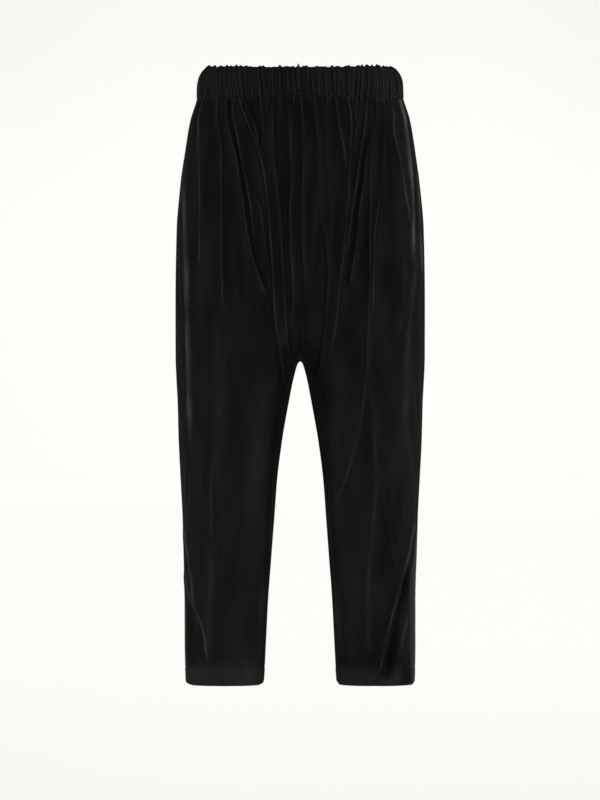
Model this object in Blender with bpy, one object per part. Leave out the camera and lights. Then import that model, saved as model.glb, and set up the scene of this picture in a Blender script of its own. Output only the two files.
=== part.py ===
"""Velour track pants, filled out as if worn, with nobody in them.

The cut is four leg panels (front and back, left and right), an elasticated waistband
and a tape down each side.  Every wall follows one form: level rings round the body
that part into two legs at the crotch, with the folds of the cloth raised on them.

Units are metres with +Z up; the tables are in millimetres and are scaled by MM.
The front faces -Y and +X is the wearer's left.  The origin is the middle of the
waistband, where the wearer holds the garment up.
"""

from collections import namedtuple

import bpy
import numpy as np

MM = 0.001

# Driving sizes, in millimetres.
OUTSEAM = 1007.5        # top of the waistband to the hem
WAISTBAND_HEIGHT = 50.0
CROTCH_DROP = 477.7     # top of the waistband down to the crotch
FORK_HEIGHT = 240.0     # the trunk starts to part into legs this far above the crotch
FORK_POWER = 1.83       # how late the parting comes
ROUNDNESS = 2.2         # exponent of every ring: 2 is an ellipse, more is squarer
CLOTH = 2.0             # thickness of the velour
HEM_TURN_UP = 29.0      # depth of the turned-up hem
HEM_CLOTH = 3.4         # thickness where the hem lies double
SEAM_GAP = 0.3          # space between pieces that meet at a seam
TAPE_WIDTH = 36.0
TAPE_CLOTH = 1.0

# How fine the walls are.
LEG_COLUMNS = 14        # across a leg panel, without those under the tape
TAPE_COLUMNS = 2        # from the edge of the tape to the side seam
FINE_STEPS = 240        # points that measure a row before its columns are spread
PROBE_ANGLE = 0.01      # radians either side of a point, for its slope
PROBE_DROP = 1.0

# Waistband gathers.
GATHERS = 88
GATHER_HEIGHT = 1.5
GATHER_RIM_LIFT = 0.9
PANEL_GATHER_HEIGHT = 1.3
PANEL_GATHER_FADE = 26.0

# The folds die out near these places, over these distances.
FOLD_END = 28.0
WAIST_CALM = 36.0
WAIST_SHARE = 0.2       # of a fold's height that is left at the waistband's seam
WAIST_TUCK = 2.0        # how far the panels are drawn in under the waistband
SEAM_CALM = 16.0
CROTCH_CALM_START = 12.0
CROTCH_CALM = 70.0
CENTRE_CALM = 26.0

# The wearer's left leg is turned further forward than the right one, so that more of
# its side seam and tape comes round to the front below the knee.
TURN_START = 700.0
TURN_END = 890.0
Leg = namedtuple("Leg", "name side turn")
LEGS = (
    Leg(name="right", side=-1, turn=3.0),
    Leg(name="left", side=1, turn=24.0),
)

# Half of the garment at a level: the outer side, over the tape, and the inner leg are
# measured from the middle of the body, and the front and the back from the plane of
# the side seams.
Section = namedtuple("Section", "drop side inner front back")
SECTIONS = (
    Section(drop=0.0, side=160.0, inner=0.0, front=101.0, back=101.0),
    Section(drop=50.0, side=171.0, inner=0.0, front=108.0, back=110.0),
    Section(drop=98.0, side=181.8, inner=0.0, front=115.0, back=122.0),
    Section(drop=131.0, side=187.0, inner=0.0, front=120.0, back=130.0),
    Section(drop=196.0, side=195.8, inner=0.0, front=127.0, back=142.0),
    Section(drop=262.0, side=201.5, inner=0.0, front=131.0, back=150.0),
    Section(drop=377.0, side=203.4, inner=0.0, front=129.0, back=148.0),
    Section(drop=477.7, side=203.2, inner=0.0, front=121.0, back=131.0),
    Section(drop=479.3, side=203.1, inner=2.5, front=120.7, back=130.5),
    Section(drop=485.9, side=202.9, inner=5.8, front=120.0, back=129.0),
    Section(drop=509.0, side=201.8, inner=12.3, front=117.0, back=122.5),
    Section(drop=542.0, side=200.0, inner=18.9, front=113.0, back=114.0),
    Section(drop=607.7, side=198.2, inner=30.4, front=105.0, back=101.0),
    Section(drop=673.5, side=194.9, inner=38.7, front=97.0, back=91.0),
    Section(drop=739.3, side=191.6, inner=43.6, front=91.0, back=84.0),
    Section(drop=805.0, side=190.0, inner=48.5, front=84.0, back=81.0),
    Section(drop=871.0, side=188.6, inner=53.5, front=76.0, back=78.0),
    Section(drop=936.7, side=188.4, inner=56.8, front=68.0, back=73.0),
    Section(drop=1007.5, side=186.7, inner=60.2, front=60.0, back=66.0),
)

# Levels of the rows of each panel, at the side seam.
TRUNK_LEVELS = (50.0, 62.0, 80.0, 104.0, 135.0, 172.0, 212.0, 255.0, 298.0,
                340.0, 380.0, 416.0, 449.0)
LEG_LEVELS = (477.9, 484.0, 497.0, 520.0, 552.0, 595.0, 645.0, 697.0, 748.0, 800.0,
              852.0, 905.0, 950.0)
FIRST_COARSE_LEVEL = 552.0
HEM_STEP = 1.5          # the step from single to double cloth, either side of its line

# A fold is a soft ridge, or a trough where its height is negative.  It runs down the
# cloth on a curve through three places across the front or the back, measured from
# the middle of the body towards the wearer's left.
Fold = namedtuple("Fold", "start end x_start x_middle x_end height width")
FRONT_FOLDS = (
    Fold(start=120, end=590, x_start=-181, x_middle=-187, x_end=-178, height=6, width=6),
    Fold(start=50, end=330, x_start=-159, x_middle=-160, x_end=-159, height=6, width=8),
    Fold(start=50, end=430, x_start=-137, x_middle=-123, x_end=-128, height=7, width=9),
    Fold(start=430, end=985, x_start=-128, x_middle=-140, x_end=-147, height=6, width=10),
    Fold(start=55, end=470, x_start=-120, x_middle=-85, x_end=-28, height=6, width=7),
    Fold(start=55, end=365, x_start=-108, x_middle=-75, x_end=-43, height=5, width=7),
    Fold(start=50, end=450, x_start=-92, x_middle=-50, x_end=-34, height=7, width=8),
    Fold(start=50, end=465, x_start=-41, x_middle=-28, x_end=-16, height=7, width=8),
    Fold(start=300, end=410, x_start=-19, x_middle=-18, x_end=-17, height=-4, width=7),
    Fold(start=50, end=400, x_start=-20, x_middle=-13, x_end=-15, height=4, width=7),
    Fold(start=50, end=180, x_start=26, x_middle=31, x_end=35, height=6, width=8),
    Fold(start=270, end=500, x_start=35, x_middle=44, x_end=26, height=-6, width=8),
    Fold(start=50, end=450, x_start=80, x_middle=75, x_end=56, height=7, width=8),
    Fold(start=50, end=325, x_start=109, x_middle=88, x_end=74, height=6, width=7),
    Fold(start=50, end=357, x_start=125, x_middle=100, x_end=80, height=6, width=7),
    Fold(start=50, end=410, x_start=139, x_middle=124, x_end=113, height=7, width=9),
    Fold(start=410, end=680, x_start=113, x_middle=115, x_end=122, height=7, width=9),
    Fold(start=680, end=990, x_start=122, x_middle=111, x_end=116, height=6, width=10),
    Fold(start=50, end=240, x_start=148, x_middle=160, x_end=176, height=4, width=7),
    Fold(start=60, end=400, x_start=160, x_middle=184, x_end=181, height=7, width=7),
    Fold(start=400, end=724, x_start=181, x_middle=171, x_end=158, height=6, width=9),
    Fold(start=298, end=547, x_start=106, x_middle=83, x_end=66, height=7, width=15),
    Fold(start=556, end=724, x_start=106, x_middle=82, x_end=47, height=6, width=10),
    Fold(start=760, end=976, x_start=184, x_middle=160, x_end=128, height=6, width=11),
    Fold(start=800, end=960, x_start=178, x_middle=174, x_end=164, height=-5, width=10),
    Fold(start=740, end=860, x_start=-187, x_middle=-178, x_end=-170, height=4, width=8),
    Fold(start=815, end=979, x_start=-185, x_middle=-164, x_end=-142, height=5, width=11),
    Fold(start=860, end=960, x_start=-184, x_middle=-178, x_end=-170, height=-4, width=10),
)
BACK_FOLDS = (
    Fold(start=50, end=430, x_start=-152, x_middle=-140, x_end=-134, height=7, width=9),
    Fold(start=50, end=300, x_start=-122, x_middle=-110, x_end=-98, height=6, width=8),
    Fold(start=50, end=460, x_start=-96, x_middle=-76, x_end=-34, height=8, width=9),
    Fold(start=50, end=250, x_start=-62, x_middle=-56, x_end=-52, height=6, width=8),
    Fold(start=50, end=430, x_start=-36, x_middle=-34, x_end=-20, height=7, width=9),
    Fold(start=50, end=330, x_start=20, x_middle=18, x_end=14, height=6, width=8),
    Fold(start=50, end=455, x_start=50, x_middle=44, x_end=20, height=7, width=9),
    Fold(start=50, end=270, x_start=76, x_middle=70, x_end=62, height=6, width=8),
    Fold(start=50, end=440, x_start=104, x_middle=86, x_end=44, height=8, width=9),
    Fold(start=50, end=360, x_start=134, x_middle=118, x_end=104, height=6, width=9),
    Fold(start=50, end=470, x_start=158, x_middle=146, x_end=138, height=7, width=9),
    Fold(start=455, end=985, x_start=-132, x_middle=-120, x_end=-128, height=6, width=10),
    Fold(start=455, end=985, x_start=136, x_middle=118, x_end=126, height=6, width=10),
    Fold(start=500, end=650, x_start=-90, x_middle=-66, x_end=-52, height=7, width=12),
    Fold(start=510, end=670, x_start=78, x_middle=62, x_end=54, height=7, width=12),
    Fold(start=640, end=745, x_start=-80, x_middle=-110, x_end=-152, height=6, width=11),
    Fold(start=655, end=760, x_start=150, x_middle=112, x_end=76, height=6, width=11),
    Fold(start=850, end=975, x_start=-92, x_middle=-100, x_end=-112, height=6, width=10),
    Fold(start=835, end=965, x_start=150, x_middle=142, x_end=132, height=6, width=9),
)

# The waistband's closed outline: how far down, how far in from the seam line, and how
# much of the gathers shows there.
BandPoint = namedtuple("BandPoint", "drop inset gather")
BAND_OUTLINE = (
    BandPoint(drop=49.7, inset=0.0, gather=0.7),
    BandPoint(drop=42.0, inset=1.4, gather=0.5),
    BandPoint(drop=24.0, inset=1.8, gather=1.0),
    BandPoint(drop=8.0, inset=6.6, gather=1.0),
    BandPoint(drop=1.2, inset=11.5, gather=0.7),
    BandPoint(drop=4.5, inset=15.0, gather=0.3),
    BandPoint(drop=24.0, inset=7.4, gather=0.3),
    BandPoint(drop=49.7, inset=5.0, gather=0.3),
)

Finish = namedtuple("Finish", "name colour roughness sheen")
VELOUR = Finish(name="velour", colour=(0.010, 0.010, 0.011), roughness=0.9, sheen=0.6)
TAPE = Finish(name="tape", colour=(0.020, 0.019, 0.026), roughness=0.6, sheen=0.2)


def clear_scene():
    """Removes whatever the scene holds."""
    for old in list(bpy.data.objects):
        bpy.data.objects.remove(old, do_unlink=True)


def smooth_step(value):
    """Rises softly from 0 to 1 as value goes from 0 to 1."""
    value = np.clip(value, 0.0, 1.0)
    return value * value * (3.0 - 2.0 * value)


def smooth_curve(places, heights, wanted):
    """Reads a smooth curve through the points, with no overshoot between them."""
    places = np.asarray(places, float)
    heights = np.asarray(heights, float)
    step = np.diff(places)
    slope = np.diff(heights) / step
    bend = np.zeros_like(heights)
    same_way = slope[:-1] * slope[1:] > 0.0
    before = 2.0 * step[1:] + step[:-1]
    after = step[1:] + 2.0 * step[:-1]
    safe = np.where(same_way, slope[:-1] * slope[1:], 1.0)
    mixed = (before + after) * safe / (before * slope[1:] + after * slope[:-1] + 1e-12)
    bend[1:-1] = np.where(same_way, mixed, 0.0)
    bend[0] = slope[0]
    bend[-1] = slope[-1]
    wanted = np.clip(wanted, places[0], places[-1])
    cell = np.clip(np.searchsorted(places, wanted, side="right") - 1, 0, len(step) - 1)
    t = (wanted - places[cell]) / step[cell]
    rise = heights[cell + 1] - heights[cell]
    start = bend[cell] * step[cell]
    end = bend[cell + 1] * step[cell]
    return (heights[cell] + start * t + (3.0 * rise - 2.0 * start - end) * t ** 2
            + (start + end - 2.0 * rise) * t ** 3)


def section_column(name, drop):
    """One measure of SECTIONS at each drop."""
    drops = [row.drop for row in SECTIONS]
    return smooth_curve(drops, [getattr(row, name) for row in SECTIONS], drop)


def ring_middle(drop):
    """Centre and half-width of one leg's ring.

    Above the crotch the rings of the two legs cross, and each stops at the middle.
    """
    side = section_column("side", drop) - SEAM_GAP - TAPE_CLOTH
    inner = section_column("inner", drop)
    above = np.clip(1.0 - (CROTCH_DROP - drop) / FORK_HEIGHT, 0.0, 1.0) ** FORK_POWER
    on_trunk = drop < CROTCH_DROP
    centre = np.where(on_trunk, side * above / (1.0 + above), (side + inner) / 2.0)
    half = np.where(on_trunk, side / (1.0 + above), (side - inner) / 2.0)
    return centre, half


def signed_power(value, power):
    """Keeps the sign of value while it raises its size to the power."""
    return np.sign(value) * np.abs(value) ** power


def plain_surface(angle, drop):
    """The form without folds, for the wearer's left leg.

    The angle is 0 at the side seam, a quarter turn at the front and minus a quarter
    turn at the back.
    """
    centre, half = ring_middle(drop)
    front = section_column("front", drop)
    back = section_column("back", drop)
    depth = np.where(np.sin(angle) >= 0.0, front, back)
    x = centre + half * signed_power(np.cos(angle), 2.0 / ROUNDNESS)
    y = -depth * signed_power(np.sin(angle), 2.0 / ROUNDNESS)
    return np.stack([x, y, WAISTBAND_HEIGHT / 2.0 - drop], axis=-1)


def outward(surface, angle, drop):
    """Unit normals of a surface function."""
    across = surface(angle + PROBE_ANGLE, drop) - surface(angle - PROBE_ANGLE, drop)
    down = surface(angle, drop + PROBE_DROP) - surface(angle, drop - PROBE_DROP)
    normal = np.cross(across, down)
    return normal / np.linalg.norm(normal, axis=-1, keepdims=True)


def fold_height(folds, x, drop):
    """Height of the folds over the plain form at each place."""
    total = np.zeros_like(drop)
    for fold in folds:
        t = np.clip((drop - fold.start) / (fold.end - fold.start), 0.0, 1.0)
        line = (fold.x_start * (1.0 - t) * (1.0 - 2.0 * t)
                + fold.x_middle * 4.0 * t * (1.0 - t)
                + fold.x_end * t * (2.0 * t - 1.0))
        starts = smooth_step((drop - fold.start) / FOLD_END)
        if fold.start <= WAISTBAND_HEIGHT:
            starts = 1.0
        fade = starts * smooth_step((fold.end - drop) / FOLD_END)
        total += fold.height * fade * np.exp(-((x - line) / fold.width) ** 2)
    return total


def folded_surface(side):
    """The form with its folds, as a function of angle and drop.

    It works in the left leg's frame; side is -1 where the leg will be mirrored.
    """
    def surface(angle, drop):
        place = plain_surface(angle, drop)
        normal = outward(plain_surface, angle, drop)
        x, y = place[..., 0], place[..., 1]
        normal[..., 0] *= smooth_step(np.abs(x) / CENTRE_CALM)
        normal /= np.linalg.norm(normal, axis=-1, keepdims=True)
        front = fold_height(FRONT_FOLDS, side * x, drop)
        back = fold_height(BACK_FOLDS, side * x, drop)
        height = np.where(y < 0.0, front, back)
        from_crotch = np.hypot(x, drop - CROTCH_DROP)
        height *= smooth_step(np.abs(y) / SEAM_CALM)
        height *= smooth_step((from_crotch - CROTCH_CALM_START) / CROTCH_CALM)
        below_waist = smooth_step((drop - WAISTBAND_HEIGHT) / WAIST_CALM)
        height *= WAIST_SHARE + (1.0 - WAIST_SHARE) * below_waist
        height -= WAIST_TUCK * (1.0 - below_waist)
        return place + normal * height[..., None]
    return surface


def angle_at(forward, drop):
    """Angle near the side seam at a distance forward of the plane of the seams."""
    front = section_column("front", drop)
    back = section_column("back", drop)
    depth = np.where(forward >= 0.0, front, back)
    return signed_power(forward / depth, ROUNDNESS / 2.0)


def side_angle(leg, face, drop):
    """Where a panel ends at the side seam.  Face is 1 in front and -1 behind."""
    turn = leg.turn * smooth_step((drop - TURN_START) / (TURN_END - TURN_START))
    return angle_at(turn + face * SEAM_GAP / 2.0, drop)


def inner_angle(face, drop):
    """Where a panel ends at the centre seam, or at the inside leg seam below it."""
    centre, half = ring_middle(drop)
    share = np.clip((SEAM_GAP / 2.0 - centre) / half, -1.0, 1.0)
    at_middle = np.arccos(signed_power(share, ROUNDNESS / 2.0))
    depth = section_column("front" if face > 0 else "back", drop)
    at_inseam = np.pi - (SEAM_GAP / 2.0 / depth) ** (ROUNDNESS / 2.0)
    return face * np.minimum(at_middle, at_inseam)


def rise_drops(face, shares):
    """Drops of places spaced by length along the seam from waistband to crotch."""
    level = CROTCH_DROP + SEAM_GAP - WAISTBAND_HEIGHT
    ease = np.linspace(0.0, 1.0, FINE_STEPS)
    drops = WAISTBAND_HEIGHT + level * (1.0 - (1.0 - ease) ** 3)
    seam = plain_surface(inner_angle(face, drops), drops)
    length = np.linalg.norm(np.diff(seam, axis=0), axis=1).cumsum()
    length = np.concatenate([[0.0], length]) / length[-1]
    return np.interp(shares, length, drops)


def row_places(leg, face, inner_drop, side_drop, columns):
    """Angle and drop of each column of one row, from the inner edge to the side."""
    t = np.linspace(0.0, 1.0, FINE_STEPS)
    drop = side_drop + (inner_drop - side_drop) * (1.0 - t) ** 2
    angle = inner_angle(face, drop) * (1.0 - t) + side_angle(leg, face, drop) * t
    points = plain_surface(angle, drop)
    length = np.linalg.norm(np.diff(points, axis=0), axis=1).cumsum()
    length = np.concatenate([[0.0], length])
    open_width = length[-1] - TAPE_WIDTH / 2.0
    spread = np.linspace(0.0, open_width, columns + 1)
    under_tape = np.linspace(open_width, length[-1], TAPE_COLUMNS + 1)[1:]
    wanted = np.concatenate([spread, under_tape])
    return np.interp(wanted, length, angle), np.interp(wanted, length, drop)


def panel_rows(face):
    """Inner drop, side drop and column count of every row, waist to hem."""
    trunk = np.array(TRUNK_LEVELS)
    shares = (trunk - WAISTBAND_HEIGHT) / (CROTCH_DROP - WAISTBAND_HEIGHT)
    first = SEAM_GAP / 2.0
    rows = [(inner + first * (share == 0.0), side + first * (share == 0.0))
            for inner, side, share in zip(rise_drops(face, shares), trunk, shares)]
    rows += [(level, level) for level in LEG_LEVELS]
    hem_line = OUTSEAM - HEM_TURN_UP
    rows += [(level, level) for level in (hem_line - HEM_STEP, hem_line + HEM_STEP, OUTSEAM)]
    return [(inner, side, LEG_COLUMNS if side >= FIRST_COARSE_LEVEL else 2 * LEG_COLUMNS)
            for inner, side in rows]


def panel_grid(leg, face):
    """Outer points and normals of a panel, one array of each for every row."""
    surface = folded_surface(leg.side)
    mirror = np.array([leg.side, 1.0, 1.0])
    rows = []
    for inner_drop, side_drop, columns in panel_rows(face):
        angle, drop = row_places(leg, face, inner_drop, side_drop, columns)
        points = surface(angle, drop)
        normals = outward(surface, angle, drop)
        waist = np.exp(-(side_drop - WAISTBAND_HEIGHT) / PANEL_GATHER_FADE)
        if columns > LEG_COLUMNS:
            wave = np.where(np.arange(len(angle)) % 2 == 0, 1.0, -1.0)
            wave[-TAPE_COLUMNS - 1:] = 0.0
            wave[0] = 0.0
            points += normals * (wave * waist * PANEL_GATHER_HEIGHT)[:, None]
        if inner_drop < CROTCH_DROP:
            points[0, 0] = SEAM_GAP / 2.0
            normals[0, 0] = min(normals[0, 0], 0.0)
        else:
            normals[0, 1] = 0.0
        normals[0] /= np.linalg.norm(normals[0])
        rows.append((points * mirror, normals * mirror, side_drop))
    return rows


def join_rows(upper, lower, faces):
    """Adds the triangles between two rows, also where the lower has half the columns."""
    halved = len(upper) != len(lower)
    plain_from = 0
    if halved:
        plain_from = len(lower) - 1 - TAPE_COLUMNS
        for j in range(plain_from):
            a, b, c = upper[2 * j], upper[2 * j + 1], upper[2 * j + 2]
            d, e = lower[j], lower[j + 1]
            faces += [(a, d, b), (b, d, e), (b, e, c)]
    shift = plain_from if halved else 0
    for j in range(plain_from, len(lower) - 1):
        a, b = upper[j + shift], upper[j + 1 + shift]
        d, e = lower[j], lower[j + 1]
        faces += [(a, d, e), (a, e, b)]


def rim(outer, inner, faces):
    """Adds the strip between the edges of two sheets."""
    for j in range(len(outer) - 1):
        a, b, c, d = outer[j], outer[j + 1], inner[j + 1], inner[j]
        faces += [(a, b, c), (a, c, d)]


def signed_volume(points, faces):
    """Volume inside the faces, negative if they face inwards."""
    corner = points[np.asarray(faces)]
    return np.einsum("ij,ij->i", corner[:, 0], np.cross(corner[:, 1], corner[:, 2])).sum()


def make_object(name, points, faces, finish):
    """A mesh object, in metres, whose faces point outwards."""
    if signed_volume(points, faces) < 0.0:
        faces = [face[::-1] for face in faces]
    mesh = bpy.data.meshes.new(name)
    mesh.from_pydata([tuple(point) for point in points * MM], [], faces)
    mesh.update()
    mesh.shade_smooth()
    mesh.materials.append(make_material(finish))
    made = bpy.data.objects.new(name, mesh)
    bpy.context.scene.collection.objects.link(made)
    return made


def make_material(finish):
    """One Principled material for each finish."""
    found = bpy.data.materials.get(finish.name)
    if found:
        return found
    material = bpy.data.materials.new(finish.name)
    material.use_nodes = True
    shader = material.node_tree.nodes["Principled BSDF"]
    shader.inputs["Base Color"].default_value = (*finish.colour, 1.0)
    shader.inputs["Roughness"].default_value = finish.roughness
    shader.inputs["Metallic"].default_value = 0.0
    shader.inputs["Sheen Weight"].default_value = finish.sheen
    return material


def sheet_solid(name, outer_rows, inner_rows, finish):
    """A wall between two sheets that have the same rows and columns."""
    counts = [len(row) for row in outer_rows]
    starts = np.concatenate([[0], np.cumsum(counts)])
    size = int(starts[-1])
    outer = [list(range(starts[i], starts[i + 1])) for i in range(len(counts))]
    inner = [[index + size for index in row] for row in outer]
    front, back, edge = [], [], []
    for i in range(len(counts) - 1):
        join_rows(outer[i], outer[i + 1], front)
        join_rows(inner[i], inner[i + 1], back)
    rim(inner[0], outer[0], edge)
    rim(outer[-1], inner[-1], edge)
    rim([row[0] for row in outer], [row[0] for row in inner], edge)
    rim([row[-1] for row in inner], [row[-1] for row in outer], edge)
    faces = front + [face[::-1] for face in back] + [face[::-1] for face in edge]
    points = np.concatenate(list(outer_rows) + list(inner_rows))
    return make_object(name, points, faces, finish)


def make_panel(leg, face):
    """One of the four panels."""
    rows = panel_grid(leg, face)
    outer, inner = [], []
    for points, normals, side_drop in rows:
        doubled = side_drop > OUTSEAM - HEM_TURN_UP
        thick = HEM_CLOTH if doubled else CLOTH
        outer.append(points)
        inner.append(points - normals * thick)
    place = "front" if face > 0 else "back"
    sheet_solid(f"panel_{place}_{leg.name}", outer, inner, VELOUR)
    return rows


def make_tape(leg, front_rows, back_rows):
    """The tape over a side seam, made from the panels' own points, moved out."""
    under, over = [], []
    for (front, front_normals, _), (back, back_normals, _) in zip(front_rows, back_rows):
        ahead = slice(-TAPE_COLUMNS - 1, -1)
        points = np.concatenate([front[ahead], [(front[-1] + back[-1]) / 2.0],
                                 back[ahead][::-1]])
        normals = np.concatenate([front_normals[ahead],
                                  [(front_normals[-1] + back_normals[-1]) / 2.0],
                                  back_normals[ahead][::-1]])
        normals /= np.linalg.norm(normals, axis=1, keepdims=True)
        under.append(points + normals * SEAM_GAP)
        over.append(points + normals * (SEAM_GAP + TAPE_CLOTH))
    count = len(under[0])
    size = len(under) * count
    middle = TAPE_COLUMNS
    faces = []
    for i in range(len(under) - 1):
        for layer in (0, size):
            upper = list(range(layer + i * count, layer + (i + 1) * count))
            lower = [index + count for index in upper]
            made = []
            join_rows(upper[:middle + 1], lower[:middle + 1], made)
            turned = []
            join_rows(upper[middle:][::-1], lower[middle:][::-1], turned)
            made += [face[::-1] for face in turned]
            faces += made if layer else [face[::-1] for face in made]
    last = size - count
    edges = (
        (range(size, size + count), range(count)),
        (range(last, size), range(size + last, 2 * size)),
        (range(0, size, count), range(size, 2 * size, count)),
        (range(size + count - 1, 2 * size, count), range(count - 1, size, count)),
    )
    for one, other in edges:
        strip = []
        rim(list(one), list(other), strip)
        faces += strip
    points = np.concatenate(under + over)
    make_object(f"side_tape_{leg.name}", points, faces, TAPE)


def band_ring(point, gather):
    """One closed loop of the waistband, evenly spaced along its length."""
    base = SECTIONS[1]
    turn = np.linspace(0.0, 2.0 * np.pi, 8 * FINE_STEPS + 1)
    power = 2.0 / ROUNDNESS
    depth = np.where(np.sin(turn) >= 0.0, base.front, base.back)
    loop = np.stack([base.side * signed_power(np.cos(turn), power),
                     -depth * signed_power(np.sin(turn), power)], axis=-1)
    length = np.linalg.norm(np.diff(loop, axis=0), axis=1).cumsum()
    length = np.concatenate([[0.0], length]) / length[-1]
    count = len(gather)
    uneven = 0.35 * np.sin(2.9 * np.arange(count)) / count
    share = np.arange(count) / count + uneven
    turn_at = np.interp(share % 1.0, length, turn)
    x = np.interp(turn_at, turn, loop[:, 0])
    y = np.interp(turn_at, turn, loop[:, 1])
    normal = np.stack([x / base.side ** 2, y / base.front ** 2], axis=-1)
    normal /= np.linalg.norm(normal, axis=1, keepdims=True)
    move = gather * point.gather * GATHER_HEIGHT - point.inset
    rim_share = 1.0 if point.drop < WAISTBAND_HEIGHT / 8.0 else 0.0
    z = WAISTBAND_HEIGHT / 2.0 - point.drop + rim_share * gather * GATHER_RIM_LIFT
    return np.stack([x + normal[:, 0] * move, y + normal[:, 1] * move, z], axis=-1)


def make_waistband():
    """The elasticated band: a ring of small gathers with a ridge and a hollow each."""
    count = 2 * GATHERS
    step = np.arange(count)
    depth = 1.0 + 0.3 * np.sin(1.7 * (step // 2)) + 0.2 * np.sin(4.1 * (step // 2))
    gather = np.where(step % 2 == 0, depth, -depth)
    points = np.concatenate([band_ring(point, gather) for point in BAND_OUTLINE])
    faces = []
    for i in range(len(BAND_OUTLINE)):
        after = (i + 1) % len(BAND_OUTLINE)
        for j in range(count):
            k = (j + 1) % count
            a, b = i * count + j, i * count + k
            c, d = after * count + k, after * count + j
            faces += [(a, b, c), (a, c, d)]
    make_object("waistband", points, faces, VELOUR)


def main():
    """Builds every piece."""
    clear_scene()
    make_waistband()
    for leg in LEGS:
        front = make_panel(leg, 1)
        back = make_panel(leg, -1)
        make_tape(leg, front, back)


main()
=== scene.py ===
"""Velour track pants with nobody in them, dressed for the camera.

The garment hangs filled out from its waist.  Every shell here follows the same plain
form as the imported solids: level rings round the body that part into two legs at the
crotch.  Folds, gathers and seams are raised on that form in millimetres.

The tables are in millimetres and +Z is up.  A place on the cloth is given by its drop,
measured down from the top of the waistband, and by its place across the body, measured
from the middle towards the wearer's left.  The front faces -Y.
"""

import logging
import math
from dataclasses import dataclass
from enum import Enum
from typing import Sequence

import bpy
import numpy as np
from bpy.types import Material, Node, NodeTree, Object
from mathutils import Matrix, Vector
from numpy import ndarray


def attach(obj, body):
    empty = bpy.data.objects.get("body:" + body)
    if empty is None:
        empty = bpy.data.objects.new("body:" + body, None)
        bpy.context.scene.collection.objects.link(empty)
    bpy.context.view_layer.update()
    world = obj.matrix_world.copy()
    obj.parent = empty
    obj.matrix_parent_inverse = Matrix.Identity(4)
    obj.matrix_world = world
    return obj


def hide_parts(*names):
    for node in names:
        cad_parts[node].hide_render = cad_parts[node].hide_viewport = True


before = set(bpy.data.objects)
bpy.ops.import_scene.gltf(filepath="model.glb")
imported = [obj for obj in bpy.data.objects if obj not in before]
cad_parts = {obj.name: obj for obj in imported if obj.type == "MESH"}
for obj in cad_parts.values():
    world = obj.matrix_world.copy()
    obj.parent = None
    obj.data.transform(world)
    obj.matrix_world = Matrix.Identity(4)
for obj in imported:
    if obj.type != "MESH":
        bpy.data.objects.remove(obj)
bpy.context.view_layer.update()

LOG = logging.getLogger("track_pants")
MM = 0.001
Range = tuple[float, float]  # the lowest and the highest value

# A Mix node has several inputs called A or B: these numbers are those of its colours.
FIRST, SECOND, MIXED = 6, 7, 2


class Face(Enum):
    """The front or the back of the garment, with the sign that its angles have."""

    FRONT = 1
    BACK = -1


class Slot(Enum):
    """The record's material slots."""

    VELOUR = "velour"
    TAPE = "tape"


class Held(Enum):
    """How a sheet of cloth is held."""

    HUNG = "hung"
    GATHERED = "gathered"


# ---------------------------------------------------------------------------
# Small helpers
# ---------------------------------------------------------------------------


def smooth_step(value: ndarray) -> ndarray:
    """Rises softly from 0 to 1 as value goes from 0 to 1."""
    value = np.clip(value, 0.0, 1.0)
    return value * value * (3.0 - 2.0 * value)


def bell(value: ndarray) -> ndarray:
    """A smooth hump: 1 where value is 0, and next to nothing past 2 on either side."""
    return np.exp(-value ** 2)


def dying(depth: ndarray, reach: float) -> ndarray:
    """Dies away from 1 with depth, and stays 1 above depth 0."""
    return np.exp(-np.maximum(depth, 0.0) / reach)


def signed_power(value: ndarray, power: float) -> ndarray:
    """Keeps the sign of value while it raises its size to the power."""
    return np.sign(value) * np.abs(value) ** power


def smooth_curve(places: Sequence[float], heights: Sequence[float], wanted: ndarray) -> ndarray:
    """Reads a smooth curve through the points, with no overshoot between them.

    Args:
        places: where the points stand, rising.
        heights: the curve's value at each of them.
        wanted: the places to read.

    Returns:
        The curve's value at each wanted place.
    """
    places = np.asarray(places, float)
    heights = np.asarray(heights, float)
    step = np.diff(places)
    slope = np.diff(heights) / step
    bend = np.zeros_like(heights)
    same_way = slope[:-1] * slope[1:] > 0.0
    before = 2.0 * step[1:] + step[:-1]
    after = step[1:] + 2.0 * step[:-1]
    safe = np.where(same_way, slope[:-1] * slope[1:], 1.0)
    mixed = (before + after) * safe / (before * slope[1:] + after * slope[:-1] + 1e-12)
    bend[1:-1] = np.where(same_way, mixed, 0.0)
    bend[0] = slope[0]
    bend[-1] = slope[-1]
    wanted = np.clip(wanted, places[0], places[-1])
    cell = np.clip(np.searchsorted(places, wanted, side="right") - 1, 0, len(step) - 1)
    t = (wanted - places[cell]) / step[cell]
    rise = heights[cell + 1] - heights[cell]
    start = bend[cell] * step[cell]
    end = bend[cell + 1] * step[cell]
    return (heights[cell] + start * t + (3.0 * rise - 2.0 * start - end) * t ** 2
            + (start + end - 2.0 * rise) * t ** 3)


def running_length(points: ndarray) -> ndarray:
    """Length along a line of points, starting at 0."""
    steps = np.linalg.norm(np.diff(points, axis=0), axis=1)
    return np.concatenate([[0.0], np.cumsum(steps)])


def grid_normals(points: ndarray) -> ndarray:
    """Unit normals of a grid of points.

    Args:
        points: rows by columns by 3.

    Returns:
        One unit vector for each point, along columns crossed with rows.
    """
    across = np.gradient(points, axis=1)
    down = np.gradient(points, axis=0)
    normal = np.cross(across, down)
    return normal / np.maximum(np.linalg.norm(normal, axis=-1, keepdims=True), 1e-9)


# ---------------------------------------------------------------------------
# The plain form
# ---------------------------------------------------------------------------


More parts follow.
